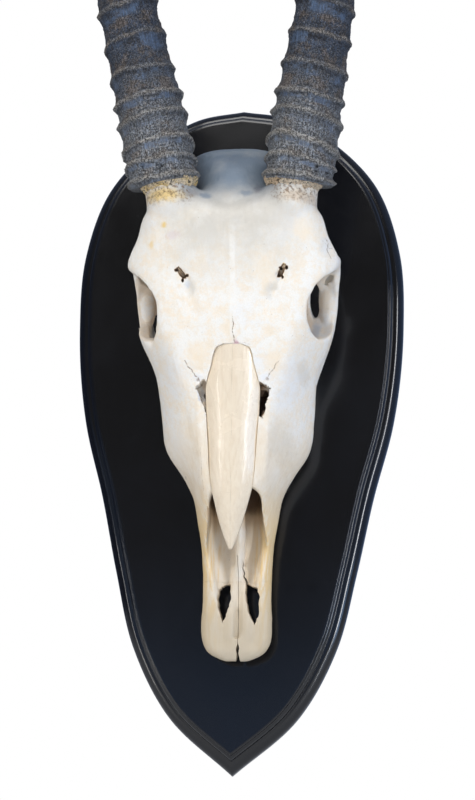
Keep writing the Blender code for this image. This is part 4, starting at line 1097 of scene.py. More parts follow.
def brow_canal(side):
    x = {-1: (-3.95, -3.4, -2.9), 1: (4.05, 3.65, 3.2)}[side]
    z = {-1: (9.75, 9.1, 8.3), 1: (9.95, 9.2, 8.4)}[side]
    path = [(x[0], z[0], 12.35, 0.17, 0.14), (x[1], z[1], 11.85, 0.27, 0.25), (x[2], z[2], 10.8, 0.32, 0.34)]
    return bar("canal", path, count=14, steps=14)


# Small pits that break the edges of those canals
CANAL_PITS = [
    ((-4.02, 9.62, 12.2), (0.17, 0.13, 0.45)), ((-3.2, 9.2, 11.9), (0.16, 0.12, 0.5)),
    ((-3.55, 8.85, 11.8), (0.13, 0.2, 0.5)), ((4.2, 9.75, 12.1), (0.12, 0.16, 0.45)),
    ((3.75, 9.72, 12.0), (0.15, 0.1, 0.5)), ((3.9, 9.05, 11.8), (0.1, 0.16, 0.5)),
]


def midline_cuts():
    """The gap between the two premaxillae, and the crack beside it."""
    slit = [(0.14, -10.74), (0.19, -10.7), (0.18, -12.6), (0.18, -17.2), (0.28, -17.6), (0.22, -18.0),
            (0.4, -19.0), (-0.1, -19.0), (0.08, -18.1), (0.02, -17.7), (0.14, -17.3), (0.15, -14.0),
            (0.145, -12.6)]
    crack = [(0.47, -11.0), (0.6, -11.3), (0.52, -11.6), (0.66, -11.95), (0.6, -12.2), (0.78, -12.4),
             (0.9, -12.8), (0.74, -12.8), (0.66, -12.5), (0.5, -12.2), (0.57, -11.95), (0.46, -11.6),
             (0.54, -11.3)]
    return [punch("slit", slit, 0.5, 5.2), punch("crack", crack, 2.6, 5.0)]


def split_muzzle(head):
    """Parts the two premaxillae from the rest along a toothed suture."""
    rng = np.random.default_rng(12)
    xs = np.linspace(-4.0, 4.0, 81)
    edge = PARTING_Z + 0.03 * np.sin(xs * 9) + rng.uniform(-0.03, 0.03, len(xs))
    above = list(zip(xs, edge)) + [(12.0, PARTING_Z), (12.0, 24.0), (-12.0, 24.0), (-12.0, PARTING_Z)]
    below = list(zip(xs, edge - 0.012)) + [(4.0, -20.0), (-4.0, -20.0)]
    upper = cut(duplicate(head, "cranium_bone"), [punch("upper", above, -3.0, 16.0)], "INTERSECT")
    lower = cut(duplicate(head, "tip"), [punch("lower", below, -3.0, 16.0)], "INTERSECT")
    halves = []
    for side, name in ((-1, "premaxilla_left"), (1, "premaxilla_right")):
        box = [(0.16, -20.0), (side * 4.0, -20.0), (side * 4.0, -12.0), (0.16, -12.0)]
        halves.append(cut(duplicate(lower, name + "_bone"), [punch("half", box, -3.0, 16.0)], "INTERSECT"))
    discard([head, lower])
    return upper, halves


def soften(thing, times, where):
    """Rounds off part of the skull; where gives a share for each point from its x, z and h."""
    x, z, h = unplace(points_of(thing))
    return relax(thing, times, 0.7, np.clip(where(np.abs(x), z, h), 0, 1))


class SKULLMOUNT_OT_cranium(bpy.types.Operator):
    """Build the cranium with both premaxillae, from fused bodies, cuts and fine relief"""
    bl_idname = "skull_mount.cranium"
    bl_label = "Cranium and premaxillae"

    def execute(self, context):
        bones = context.scene.skull_settings
        head = fused(gather("head", head_parts()), bones.detail * 1.1)
        relax(head, 12)
        soften(head, 190, lambda x, z, h: smoothstep(13.2, 14.6, z) * smoothstep(18.6, 17.2, z)
               * smoothstep(3.9, 2.7, x) * smoothstep(8.5, 10, h))
        cut(head, self.hollows())
        strips = [bar("vomer", VOMER, out=(0, -1, 0))]
        for side in (-1, 1):
            strips.append(blob("orbit_bar", (side * 6.98, 8.9, 6.68), (0.72, 2.7, 0.6), 0.0, 32, 24))
            path = [(0.16 + side * x, *rest) for x, *rest in STRIP]
            strips.append(bar("strip", path, out=(0, -1, 0)))
        head = fused(gather("head", [head] + strips), bones.detail)
        relax(head, 3)
        soften(head, 26, lambda x, z, h: smoothstep(-5.4, -6.2, z) * smoothstep(-16.8, -15.5, z)
               * smoothstep(3.1, 2.6, x) * smoothstep(2.7, 3.3, h))
        soften(head, 60, lambda x, z, h: smoothstep(-2.4, -4.0, z) * smoothstep(-10.0, -8.0, z)
               * smoothstep(2.2, 2.5, x) * smoothstep(4.4, 3.8, x) * smoothstep(4.6, 5.6, h))
        soften(head, 30, lambda x, z, h: smoothstep(3.8, 4.8, z) * smoothstep(11.5, 10.5, z)
               * smoothstep(5.0, 5.6, x) * smoothstep(7.6, 8.6, h))
        weather(head)
        cut(head, [nasal_slot(side) for side in (-1, 1)] + [brow_canal(side) for side in (-1, 1)])
        cut(head, [blob("canal_pit", place_, half, segments=14, rings=10) for place_, half in CANAL_PITS])
        cut(head, [punch("hole", ragged(outline, seed), 1.0, 5.0) for outline, seed in PALATE_HOLES])
        cut(head, [punch("cleft", ragged(outline, seed, 0.1), low, 12.0) for outline, seed,
                   low in SIDE_HOLES])
        cut(head, [blob("chip", place_, half, segments=10, rings=8) for place_, half in CHIPS])
        cut(head, midline_cuts())
        cranium, halves = split_muzzle(head)
        note_hollows(cranium)
        finish = bone_material("weathered_bone", bones, bleached=True)
        finish_piece(cranium, finish, "cranium", angle=60)
        tip = bone_material("muzzle_bone", bones, polish=0.5, yellow=0.14)
        for half in halves:
            finish_piece(half, tip, half.name.removesuffix("_bone"), angle=60)
        return {"FINISHED"}

    def hollows(self):
        """Cutters for the air passage, the eye sockets and the openings of the braincase."""
        cutters = [loft("hollow", nose_rings()), blob("spine_hole", (0, 20.7, 5.1), (1.05, 1.5, 1.0)),
                   blob("throat", (0, 8.6, 2.6), (1.2, 3.0, 1.5)),
                   punch("nose_edge", closed_curve(NOSE_EDGE, 5), 4.2, 12.0)]
        for side in (-1, 1):
            x, z, h = ORBIT["middle"]
            cutters += [blob("eye", (side * x, z, h), ORBIT["half"], -side * ORBIT["turn"], 64, 48),
                        punch("eye_edge", ORBIT_EDGES[side], 8.7, 14.0),
                        blob("ear_hole", (side * 5.0, 16.3, 5.0), (0.7, 0.28, 0.28))]
            cutters.append(blob("eye_depth", *EYE_DEPTHS[side], 0.0, 32, 24))
        return cutters


class SKULLMOUNT_OT_nasals(bpy.types.Operator):
    """Build the two long nasal bones"""
    bl_idname = "skull_mount.nasals"
    bl_label = "Nasal bones"

    def execute(self, context):
        bones = context.scene.skull_settings
        finish = bone_material("nasal_bone", bones, fair=bones.ivory, polish=0.2, yellow=0.02)
        shader = finish.node_tree.nodes["Principled BSDF"]
        shader.inputs["Specular IOR Level"].default_value = 0.7
        shader.inputs["Coat Weight"].default_value = 0.5
        shader.inputs["Coat Roughness"].default_value = 0.1
        for side, name in ((-1, "nasal_left"), (1, "nasal_right")):
            piece = finish_piece(self.nasal(side, name + "_bone", bones.seam / CM), finish, name, angle=60)
        return {"FINISHED"}

    def nasal(self, side, name, seam):
        across = np.concatenate([np.linspace(0, 0.9, 16), np.linspace(0.93, 1.0, 7)])
        rings = []
        for z in np.linspace(NASALS[0][0], NASALS[-1][0], 190):
            half = spline(np.array(NASALS), z)[0, 1]
            xs = seam + (half - seam) * across
            tops, _, shift = nasal_top(np.full(len(xs), z), xs)
            crease = 0.018 * np.exp(-(xs / 0.16) ** 2) * smoothstep(-2.0, -5.0, z)
            rounding = 0.05 * np.clip((xs - (half - 0.1)) / 0.1, 0, 1) ** 2.5
            upper = [(shift[0] + side * x, z, t) for x, t in zip(xs, tops - crease - rounding)]
            lower = [(shift[0] + side * x, z, t) for x, t in zip(xs, tops - NASAL_THICK + rounding * 0.8)]
            rings.append(place(upper + lower[::-1]))
        made = loft(name, rings)
        points, normals = points_of(made), normals_of(made)
        rise = 0.022 * rough_noise(points, (0.9, 0.9, 5.0), 5, 3)
        rise += 0.004 * rough_noise(points, (0.12, 0.12, 1.2), 9, 2)
        move_points(made, points + normals * (np.minimum(rise, 0.02) * CM)[:, None]
                    * (normals[:, 1] < -0.3)[:, None])
        return made


class SKULLMOUNT_OT_teeth(bpy.types.Operator):
    """Build the two rows of cheek teeth that face the shield"""
    bl_idname = "skull_mount.teeth"
    bl_label = "Cheek teeth"

    def execute(self, context):
        bones = context.scene.skull_settings
        finish = self.enamel(bones)
        for side, name in ((-1, "teeth_left"), (1, "teeth_right")):
            made, z = [], TEETH_START
            for size, width, x in TEETH:
                made.append(self.tooth(side, z + size / 2, size * 0.985, width, x))
                z += size
            piece = finish_piece(gather(name, made), finish, "cranium", angle=50)
        return {"FINISHED"}

    def tooth(self, side, z, size, width, x):
        """One tooth with two lobes and upright ribs."""
        t = 2 * np.pi * np.arange(56) / 56
        rings = []
        for h in np.concatenate([[TOOTH_FOOT, TOOTH_FOOT + 0.02], np.linspace(0.12, TOOTH_TOP, 16)]):
            share = np.interp(h, [TOOTH_FOOT, 0.12, 0.5, TOOTH_TOP], [0.8, 0.9, 0.97, 0.9])
            lobes = 1 - 0.1 * np.cos(t * 2) ** 8 * (np.abs(np.cos(t)) > 0.5) + 0.035 * np.cos(t * 6)
            c = np.copysign(np.abs(np.cos(t)) ** 0.62, np.cos(t)) * lobes
            s = np.copysign(np.abs(np.sin(t)) ** 0.45, np.sin(t))
            rings.append(place(np.column_stack([
                side * x + width / 2 * share * c, z + size / 2 * min(share * 1.03, 1) * s, np.full(56, h)])))
        return loft("tooth", rings)

    def enamel(self, bones):
        made, w, shader, here = new_material("tooth_enamel")
        detail = effect(w, "bone", Position=here, Scale=1.6, Streak_length=1.0)
        low = w.node("SeparateXYZ", {0: here}).outputs[1]
        gum = w.span(low, -(BOARD_THICK + 0.022), -(BOARD_THICK + 0.006))
        colour = w.blend(w.times(detail["Blotch"], 0.5), bones.enamel, bones.tan)
        colour = w.blend(w.times(w.maths("SUBTRACT", 1.0, gum), 0.45), colour, FIXED["umber"])
        w.feed(shader.inputs["Base Color"], colour)
        w.feed(shader.inputs["Roughness"], w.span(detail["Streak"], 0.0, 1.0, 0.16, 0.4))
        bump(w, shader, detail["Streak"], 0.0003, 0.5)
        return made


# Horns

def ring_places(end):
    """Distances of the growth rings from the root, wide apart up the horn and closer again near their end."""
    places, (spots, gaps) = list(FIRST_RINGS), zip(*RING_GAPS)
    while places[-1] < end:
        places.append(places[-1] + float(np.interp(places[-1], spots, gaps)))
    return np.array(places[:-1])


def horn_surface(side, sizes):
    """Points of one horn in rows, with how high, how far under a ring and how far along each point is."""
    end = sizes.ring_end / CM
    places = ring_places(end)
    fine = sizes.step / CM
    steps = np.concatenate([np.arange(0, 30, fine), np.arange(30, 66.5, fine * 1.7),
                            np.linspace(66.5, 67.9, 16)])
    middles, ways = horn_line(side, steps)
    count = sizes.around
    angle = 2 * np.pi * np.arange(count) / count
    rng = np.random.default_rng(40 + side)
    front = np.array((0, -1.0, 0))
    front = unit(front - ways * (ways @ front)[:, None])
    across = np.array((-side, 0, 0), float)
    across = across - ways * (ways @ across)[:, None]
    across = unit(across - front * np.sum(across * front, 1)[:, None])
    share = steps / HORN_LENGTH
    wide = spline(HORN_HALF, steps)[:, 1]
    tip = np.sqrt(np.clip((67.95 - steps) / 0.5, 0.02, 1))
    wide = wide * tip
    deep = wide * HORN_DEEPER
    # Where each ring crosses, round the horn, as a shift along it
    tilt = np.minimum(1.0, steps / 3.0) * (1 - share)
    slip = (wide[:, None] * np.cos(angle) * math.tan(math.radians(7))
            + deep[:, None] * np.sin(angle) * math.tan(math.radians(9))) * tilt[:, None]
    cloud = np.stack([np.cos(angle)[None] * 2.2 + 0 * share[:, None],
                      np.sin(angle)[None] * 2.2 + 0 * share[:, None],
                      steps[:, None] + 0 * angle[None]], -1).reshape(-1, 3) * CM
    shape = (len(steps), count)
    sway = 0.4 * cell_noise(cloud, (2.4, 2.4, 3.5), 51 + side).reshape(shape)
    sway += 0.13 * cell_noise(cloud, (0.8, 0.8, 2.0), 53 + side).reshape(shape)
    sway += 0.05 * cell_noise(cloud, (0.25, 0.25, 1.0), 55 + side).reshape(shape)
    along = steps[:, None] - sway * smoothstep(-1.0, 2.5, steps)[:, None]
    k = np.clip(np.searchsorted(places, along) - 1, -1, len(places) - 1)
    before = np.where(k >= 0, places[np.maximum(k, 0)], places[0] - 1.0)
    after = np.where(k + 1 < len(places), places[np.minimum(k + 1, len(places) - 1)], places[-1] + 1.8)
    gap = after - before
    t = np.clip((along - before) / gap, 0, 1)
    heights = rng.uniform(0.84, 1.0, len(places) + 2)
    low_height = heights[np.clip(k + 1, 0, len(heights) - 1)]
    high_height = heights[np.clip(k + 2, 0, len(heights) - 1)]
    # A scallop between two rounded lips, with a crease under each
    lower = low_height * (1 - t) ** 2.2
    upper = high_height * t**2.4
    lip = low_height * np.exp(-((t * gap) / 0.17) ** 2) + high_height * np.exp(-(((1 - t) * gap) / 0.17) ** 2)
    crease = np.exp(-((t * gap - 0.42) / 0.09) ** 2)
    ring = np.clip(0.8 * (lower + upper) + 0.26 * lip - 0.08 * crease, 0, 1.08)
    uneven = 0.95 + 0.12 * cell_noise(cloud, (1.6, 1.6, 1.2), 61 + side).reshape(shape)
    fade = np.maximum(0, 1 - share / 0.78) ** 0.5
    last = smoothstep(end + 1.5, end - 6.0, steps)
    high = ring * uneven * (fade * last)[:, None]
    wrinkles = (0.07 * rough_noise(cloud, (1.5, 1.5, 0.3), 71 + side, 3).reshape(shape)
                * (0.35 + fade * last)[:, None])
    fibres = 0.014 * cell_noise(cloud, (0.16, 0.16, 2.2), 81 + side).reshape(shape)
    crumbs = 0.04 * rough_noise(cloud, 0.24, 91 + side, 2).reshape(shape) * smoothstep(14, 2, steps)[:, None]
    pits = smoothstep(0.5, 0.7, cell_noise(cloud, (0.34, 0.34, 0.14), 95 + side).reshape(shape))
    pits *= smoothstep(3.2, 0.6, steps)[:, None] * smoothstep(0.2, 0.5, t) * smoothstep(0.95, 0.7, t)
    relief = sizes.relief / CM * high + (wrinkles + fibres + crumbs) * tip[:, None] - 0.14 * pits
    round_x = (wide[:, None] + relief) * np.cos(angle)
    round_y = (deep[:, None] + relief) * np.sin(angle)
    points = (middles[:, None] + across[:, None] * (round_x * CM)[..., None]
              + front[:, None] * (round_y * CM)[..., None] + ways[:, None] * (slip * CM)[..., None])
    under = smoothstep(0.45, 0.65, t) * smoothstep(1.0, 0.9, t)
    straight = np.stack([np.cos(angle)[None] * wide[:, None], np.sin(angle)[None] * deep[:, None],
                         steps[:, None] + 0 * angle[None]], -1) * CM
    return points, high, under * (fade * last)[:, None], pits, straight


class SKULLMOUNT_OT_horns(bpy.types.Operator):
    """Build the two ringed horn sheaths and the crusted rims they sit on"""
    bl_idname = "skull_mount.horns"
    bl_label = "Horn sheaths"

    def execute(self, context):
        sizes = context.scene.horn_settings
        finish = self.sheath(sizes)
        rim = self.crust(sizes, context.scene.skull_settings)
        for side, name in ((-1, "horn_left"), (1, "horn_right")):
            piece = finish_piece(self.horn(side, name, sizes), finish, name, angle=180)
            seat = finish_piece(self.seat(side, name.replace("horn", "sheath_rim")), rim, "cranium",
                                angle=180)
        return {"FINISHED"}

    def horn(self, side, name, sizes):
        points, high, under, pits, straight = horn_surface(side, sizes)
        low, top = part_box(name)
        rows, count = points.shape[:2]
        # The lower edge is ragged, and turned in towards the bone
        sunk = points[0] * 0.4 + points[0].mean(0) * 0.6
        verts = np.concatenate([points.reshape(-1, 3), sunk, points[-1].mean(0)[None], sunk.mean(0)[None]])
        faces = grid_faces(rows, count).tolist()
        first, end = rows * count, (rows - 1) * count
        for i in range(count):
            j = (i + 1) % count
            faces.append((i, first + i, first + j, j))
            faces.append((first + count, end + i, end + j))
            faces.append((first + count + 1, first + j, first + i))
        verts = np.clip(verts, np.array(low) + 2e-5, np.array(top) - 2e-5)
        made = face_out(mesh_object(name + "_sheath", verts, faces))
        extra = count + 2
        mark(made, "ring", np.concatenate([high.ravel(), np.zeros(extra)]))
        mark(made, "under", np.concatenate([under.ravel(), np.zeros(extra)]))
        mark(made, "pit", np.concatenate([pits.ravel(), np.zeros(extra)]))
        layer = made.data.attributes.new("straight", "FLOAT_VECTOR", "POINT")
        flat = np.concatenate([straight.reshape(-1, 3), np.zeros((extra, 3))])
        layer.data.foreach_set("vector", flat.astype(np.float32).ravel())
        return made

    def seat(self, side, name):
        """A crusted band between the bone and the sheath."""
        steps = np.linspace(-0.5, 0.14, 26)
        tops, ways = horn_line(side, [0.0])
        ahead = ways[0]
        across = unit(np.array((1.0, 0, 0)) - ahead * ahead[0])
        front = np.cross(ahead, across)
        count = 220
        angle = 2 * np.pi * np.arange(count) / count
        rings = []
        for s in steps:
            near = (s + 0.5) / 0.64
            grow = 0.2 * near**1.5 - 0.22 * (1 - near) ** 2
            middle = tops[0] + ahead * s * CM - across * (side * 0.45 * (1 - 0.25 * near)) * CM
            a, b = (2.1 + grow) * CM, (2.45 + grow) * CM
            rings.append(middle + across * (a * np.cos(angle))[:, None]
                         + front * (b * np.sin(angle))[:, None])
        made = loft(name, rings)
        points, normals = points_of(made), normals_of(made)
        rise = 0.2 * rough_noise(points, 0.7, 31 + side, 4) + 0.1 * rough_noise(points, 0.16, 35 + side, 2)
        move_points(made, points + normals * (rise * CM)[:, None])
        return made

    def sheath(self, sizes):
        made, w, shader, here = new_material("ringed_horn")
        straight = w.read("straight", vector=True)
        ring, under, pit = w.read("ring"), w.read("under"), w.read("pit")
        split = w.node("SeparateXYZ", {0: straight}).outputs
        long = w.node("CombineXYZ", {"X": split[0], "Y": split[1], "Z": w.times(split[2], 0.06)}).outputs[0]
        fibre = w.span(w.noise(long, 900.0, 4.0, 0.6), 0.4, 0.62)
        patch = w.noise(straight, 75.0, 5.0, 0.7, 0.3)
        stipple = w.span(w.noise(straight, 950.0, 3.0, 0.85), 0.46, 0.56)
        flecks = w.span(w.noise(w.vector("ADD", straight, (0.3, 0.1, 0.2)), 1250.0, 3.0, 0.8), 0.52, 0.62)
        up = w.span(w.maths("ADD", split[2], w.times(patch, 0.03)), 0.03, 0.12)
        facing = w.span(split[1], 0.002, 0.016)
        # Painted reflection: a blue sky sheen on the smooth front of the hollow under each ring, which is
        # also made less rough
        sky_sheen = w.times(under, facing, w.span(patch, 0.38, 0.66, 0.0, 0.85))
        sky_sheen = w.times(sky_sheen, w.span(ring, 0.35, 0.7, 1.0, 0.0))
        colour = w.blend(up, sizes.grey, sizes.soot)
        colour = w.blend(w.times(fibre, 0.4), colour, sizes.dark)
        warm = w.span(w.noise(straight, 95.0, 4.0, 0.7), 0.46, 0.6)
        colour = w.blend(w.times(warm, w.span(under, 0.2, 0.8, 0.5, 0.08)), colour, sizes.umber)
        colour = w.blend(w.times(sky_sheen, w.span(fibre, 0.0, 1.0, 0.95, 0.6)), colour, sizes.slate)
        lips = w.times(w.span(ring, 0.45, 0.85), w.span(up, 0.0, 1.0, 0.6, 0.34))
        colour = w.blend(lips, colour, sizes.pale)
        rough = w.span(sky_sheen, 0.0, 0.6, 1.0, 0.4)
        colour = w.blend(w.times(flecks, rough, w.span(up, 0.0, 1.0, 0.85, 0.4)), colour, sizes.pale)
        colour = w.blend(w.times(stipple, rough, 0.8), colour, sizes.dark)
        # Painted shade: patchy darkening in the creases of the rings
        crease = w.times(w.span(ring, 0.3, 0.42), w.span(ring, 0.46, 0.6, 1.0, 0.0))
        colour = w.blend(w.times(crease, w.span(patch, 0.4, 0.6, 0.5, 0.0)), colour, sizes.dark)
        holes = w.span(w.cells(straight, 620.0), 0.08, 0.3, 1.0, 0.0)
        holes = w.times(holes, w.span(w.noise(straight, 170.0, 3.0), 0.54, 0.64))
        holes = w.maths("MAXIMUM", holes, pit)
        colour = w.blend(w.times(holes, 0.85), colour, sizes.dark)
        w.feed(shader.inputs["Base Color"], colour)
        dull = w.maths("MAXIMUM", w.span(sky_sheen, 0.0, 1.0, 0.78, 0.36), w.times(holes, 0.8))
        w.feed(shader.inputs["Roughness"], dull)
        shader.inputs["Specular IOR Level"].default_value = 0.5
        height = w.maths("SUBTRACT", w.times(fibre, 0.5), w.times(stipple, rough))
        height = w.maths("SUBTRACT", height, w.times(holes, 1.2))
        bump(w, shader, height, 0.0013, 1.0)
        return made

    def crust(self, sizes, bones):
        made, w, shader, here = new_material("dried_crust")
        detail = effect(w, "bone", Position=here, Scale=2.2, Streak_length=1.0)
        left = w.span(w.node("SeparateXYZ", {0: here}).outputs[0], -0.01, 0.01, 1.0, 0.0)
        colour = w.blend(left, w.blend(detail["Blotch"], bones.cream, bones.tan),
                         w.blend(detail["Blotch"], bones.cream, bones.ochre))
        crumbs = w.span(w.noise(here, 1100.0, 3.0, 0.7), 0.5, 0.62)
        colour = w.blend(w.times(crumbs, 0.8), colour, sizes.umber)
        colour = w.blend(w.span(w.noise(here, 420.0, 3.0, 0.7), 0.54, 0.62, 0.0, 0.9), colour, sizes.dark)
        colour = w.blend(detail["Pores"], colour, sizes.dark)
        w.feed(shader.inputs["Base Color"], colour)
        w.feed(shader.inputs["Roughness"], w.span(detail["Streak"], 0.0, 1.0, 0.6, 0.9))
        bump(w, shader, w.maths("ADD", detail["Grain"], crumbs), 0.0008, 0.8)
        return made


# Shield

def board_outline(steps, clear):
    """The shield's outline, anticlockwise from the tip, as (x, z) in centimetres."""
    rows = np.array(BOARD_HALF_WIDTHS)
    along = np.concatenate([[0], np.cumsum(np.hypot(np.diff(rows[:, 0]), np.diff(rows[:, 1])))])
    points = spline(np.column_stack([along, rows]), np.linspace(0, along[-1], steps + 1))[:, 1:]
    right = points[::-1, ::-1].copy()
    right[0], right[-1] = (0.0, rows[-1, 0]), (0.0, rows[0, 0])
    left = (right[1:-1] * (-1, 1))[::-1]
    return inset(np.concatenate([right, left]), clear)


def inset(outline, distance):
    """The outline moved inwards, mitred at its corners."""
    before, after = outline - np.roll(outline, 1, 0), np.roll(outline, -1, 0) - outline
    a, b = unit(before), unit(after)
    normal = unit(np.column_stack([-(a[:, 1] + b[:, 1]), a[:, 0] + b[:, 0]]))
    reach = distance / np.maximum(np.sum(normal * np.column_stack([-a[:, 1], a[:, 0]]), 1), 0.3)
    moved = outline + normal * reach[:, None]
    tip = moved[0, 1]
    lost = (moved[:, 1] < tip) | (np.sign(moved[:, 0]) != np.sign(outline[:, 0]))
    lost &= outline[:, 1] < 0
    # Points that pass the mitre at the tip are drawn in to it, each a hair apart
    order = np.where(np.arange(len(outline)) < len(outline) / 2, np.arange(len(outline)),
                     np.arange(len(outline)) - len(outline))
    moved[lost, 0] = order[lost] * 0.0004
    moved[lost, 1] = tip + np.abs(order[lost]) * 0.0004
    return moved


def moulding():
    """Points across the edge of the shield, from its back corner to the flat front, as (inset, rise)."""
    quarter = np.linspace(0, math.pi / 2, 13)
    rows = [(0.0, 0.0), (0.0, 0.03), (0.0, 0.25), (0.0, 0.5)]
    rows += [(0.8 - 0.8 * math.cos(a), 0.5 + 0.8 * math.sin(a)) for a in quarter[1:]]
    rows += [(0.83, 1.31), (0.845, 1.36), (0.85, 1.46)]
    rows += [(1.12 - 0.27 * math.cos(a), 1.46 + 0.46 * math.sin(a)) for a in quarter[1:]]
    rows += [(1.145, 1.93), (1.155, 1.97), (1.175, 2.12), (1.19, 2.165), (1.215, 2.19), (1.25, 2.2),
             (1.4, 2.2)]
    return rows


def plate_outline(width, height, radius, grow=0.0, steps=9):
    made = []
    a, b = width / 2 - radius, height / 2 - radius
    for cx, cz, start in ((a, b, 0), (-a, b, 90), (-a, -b, 180), (a, -b, 270)):
        for k in range(steps):
            t = math.radians(start + 90 * k / (steps - 1))
            made.append((cx + (radius + grow) * math.cos(t), cz + (radius + grow) * math.sin(t)))
    return made


def slab(name, outline, near, far, lift):
    """An outline in the shield's plane, given a depth between two distances from the wall, in centimetres."""
    return prism(name, *([(x * CM, -d * CM, (z + lift) * CM) for x, z in outline] for d in (near, far)))


class SKULLMOUNT_OT_shield(bpy.types.Operator):
    """Build the moulded shield with its hanger pocket"""
    bl_idname = "skull_mount.shield"
    bl_label = "Wall shield"

    def execute(self, context):
        board = context.scene.shield_settings
        outline = board_outline(board.side_steps, board.edge_gap / CM)
        rings = []
        for away, rise in moulding():
            ring = inset(outline, away)
            rings.append(np.column_stack([ring[:, 0], np.full(len(ring), -rise), ring[:, 1]]) * CM)
        made = loft("shield_board", rings)
        cut(made, [slab("pocket", plate_outline(2.4, 4.2, 0.5, 0.03), -0.2, 0.33, HANGER_Z),
                   slab("well", plate_outline(1.3, 2.9, 0.6), -0.1, 1.1, HANGER_Z - 0.5)])
        piece = finish_piece(made, self.lacquer(board), "shield", angle=32)
        return {"FINISHED"}

    def lacquer(self, board):
        made, w, shader, here = new_material("gloss_lacquer")
        wear = effect(w, "wear", Position=here, Amount=0.5)
        split = w.node("SeparateXYZ", {0: here}).outputs
        colour = w.blend(w.times(wear["Haze"], 0.5), board.lacquer, (0.006, 0.007, 0.011))
        marks = None
        for x, z in ((0.0435, -0.1257), (0.0622, -0.1263)):
            mark_here = effect(w, "spot", Position=here, Middle=(x, -BOARD_THICK, z),
                               Size=(0.0045, 1.0, 0.0045), Softness=0.5)["Mask"]
            marks = mark_here if marks is None else w.maths("MAXIMUM", marks, mark_here)
        colour = w.blend(w.times(marks, 0.8), colour, (0.002, 0.002, 0.003))
        colour = w.blend(w.times(wear["Specks"], 0.5), colour, board.dust)
        colour = w.blend(w.times(wear["Scuffs"], 0.03), colour, board.dust)
        raw = w.span(split[1], -0.0006, -0.0001)
        colour = w.blend(raw, colour, (0.06, 0.035, 0.02))
        w.feed(shader.inputs["Base Color"], colour)
        dull = w.span(wear["Haze"], 0.3, 0.7, 0.12, 0.2)
        dull = w.maths("ADD", dull, w.times(wear["Specks"], 0.3))
        dull = w.maths("ADD", dull, w.times(raw, 0.5))
        w.feed(shader.inputs["Roughness"], dull)
        shader.inputs["Coat Weight"].default_value = 0.3
        shader.inputs["Coat Roughness"].default_value = 0.06
        bump(w, shader, w.noise(here, 60.0, 3.0), 0.0002, 0.12)
        return made


class SKULLMOUNT_OT_hanger(bpy.types.Operator):
    """Build the keyhole plate let into the back of the shield, with its two screws"""
    bl_idname = "skull_mount.hanger"
    bl_label = "Hanger plate"

    def execute(self, context):
        rings = []
        for away, deep in ((0.06, 0.3), (0.0, 0.27), (0.0, 0.05), (0.05, 0.0)):
            ring = plate_outline(2.4, 4.2, 0.5, -away)
            rings.append([(x * CM, -deep * CM, (z + HANGER_Z) * CM) for x, z in ring])
        plate = loft("plate", rings)
        wide, thin = 0.45, 0.22
        start = math.asin(thin / wide)
        hole = [(-wide * math.sin(a), wide * math.cos(a))
                for a in np.linspace(start, 2 * math.pi - start, 33)]
        hole += [(thin * math.cos(a), 1.3 + thin * math.sin(a)) for a in np.linspace(0, math.pi, 13)]
        sinks = []
        for z in (1.62, -1.72):
            for r, near, far in ((0.31, -0.01, 0.1), (0.17, 0.05, 0.4)):
                ring = [(r * math.cos(a), z + r * math.sin(a)) for a in np.linspace(0, 2 * math.pi, 25)[:-1]]
                sinks.append(slab("sink", ring, near, far, HANGER_Z))
        cut(plate, [slab("hole", hole, -1.0, 2.0, HANGER_Z - 1.0)])
        cut(plate, sinks)
        screws = []
        for z, turn in ((1.62, 0.4), (-1.72, 1.9)):
            rings = []
            for r, deep in ((0.16, 0.32), (0.16, 0.12), (0.29, 0.085), (0.3, 0.06), (0.27, 0.035),
                            (0.15, 0.022)):
                rings.append([(r * CM * math.cos(a), -deep * CM, (z + HANGER_Z + r * math.sin(a)) * CM)
                              for a in np.linspace(0, 2 * math.pi, 33)[:-1]])
            screw = loft("screw", rings)
            c, s = math.cos(turn), math.sin(turn)
            slot = [(x * c - y * s, z + x * s + y * c) for x,
                    y in ((-0.32, -0.03), (0.32, -0.03), (0.32, 0.03), (-0.32, 0.03))]
            screws.append(cut(screw, [slab("slot", slot, -0.1, 0.07, HANGER_Z)]))
        made = gather("hanger_plate_fine", [plate] + screws)
        piece = finish_piece(made, self.steel(context.scene.shield_settings), "hanger_plate", angle=30)
        return {"FINISHED"}

    def steel(self, board):
        made, w, shader, here = new_material("brushed_steel")
        wear = effect(w, "wear", Position=here, Amount=0.6)
        turn = w.node("Mapping", {"Vector": here, "Scale": (0.04, 1.0, 1.0)}).outputs[0]
        lines = w.noise(turn, 2600.0, 3.0, 0.6)
        colour = w.blend(w.times(lines, 0.4), board.steel, (0.3, 0.29, 0.27))
        colour = w.blend(w.times(w.span(wear["Haze"], 0.5, 0.7), 0.3), colour, (0.25, 0.13, 0.06))
        w.feed(shader.inputs["Base Color"], colour)
        w.feed(shader.inputs["Roughness"], w.span(lines, 0.2, 0.8, 0.28, 0.48))
        shader.inputs["Metallic"].default_value = 1.0
        bump(w, shader, lines, 0.0001, 0.4)
        return made


# Stage

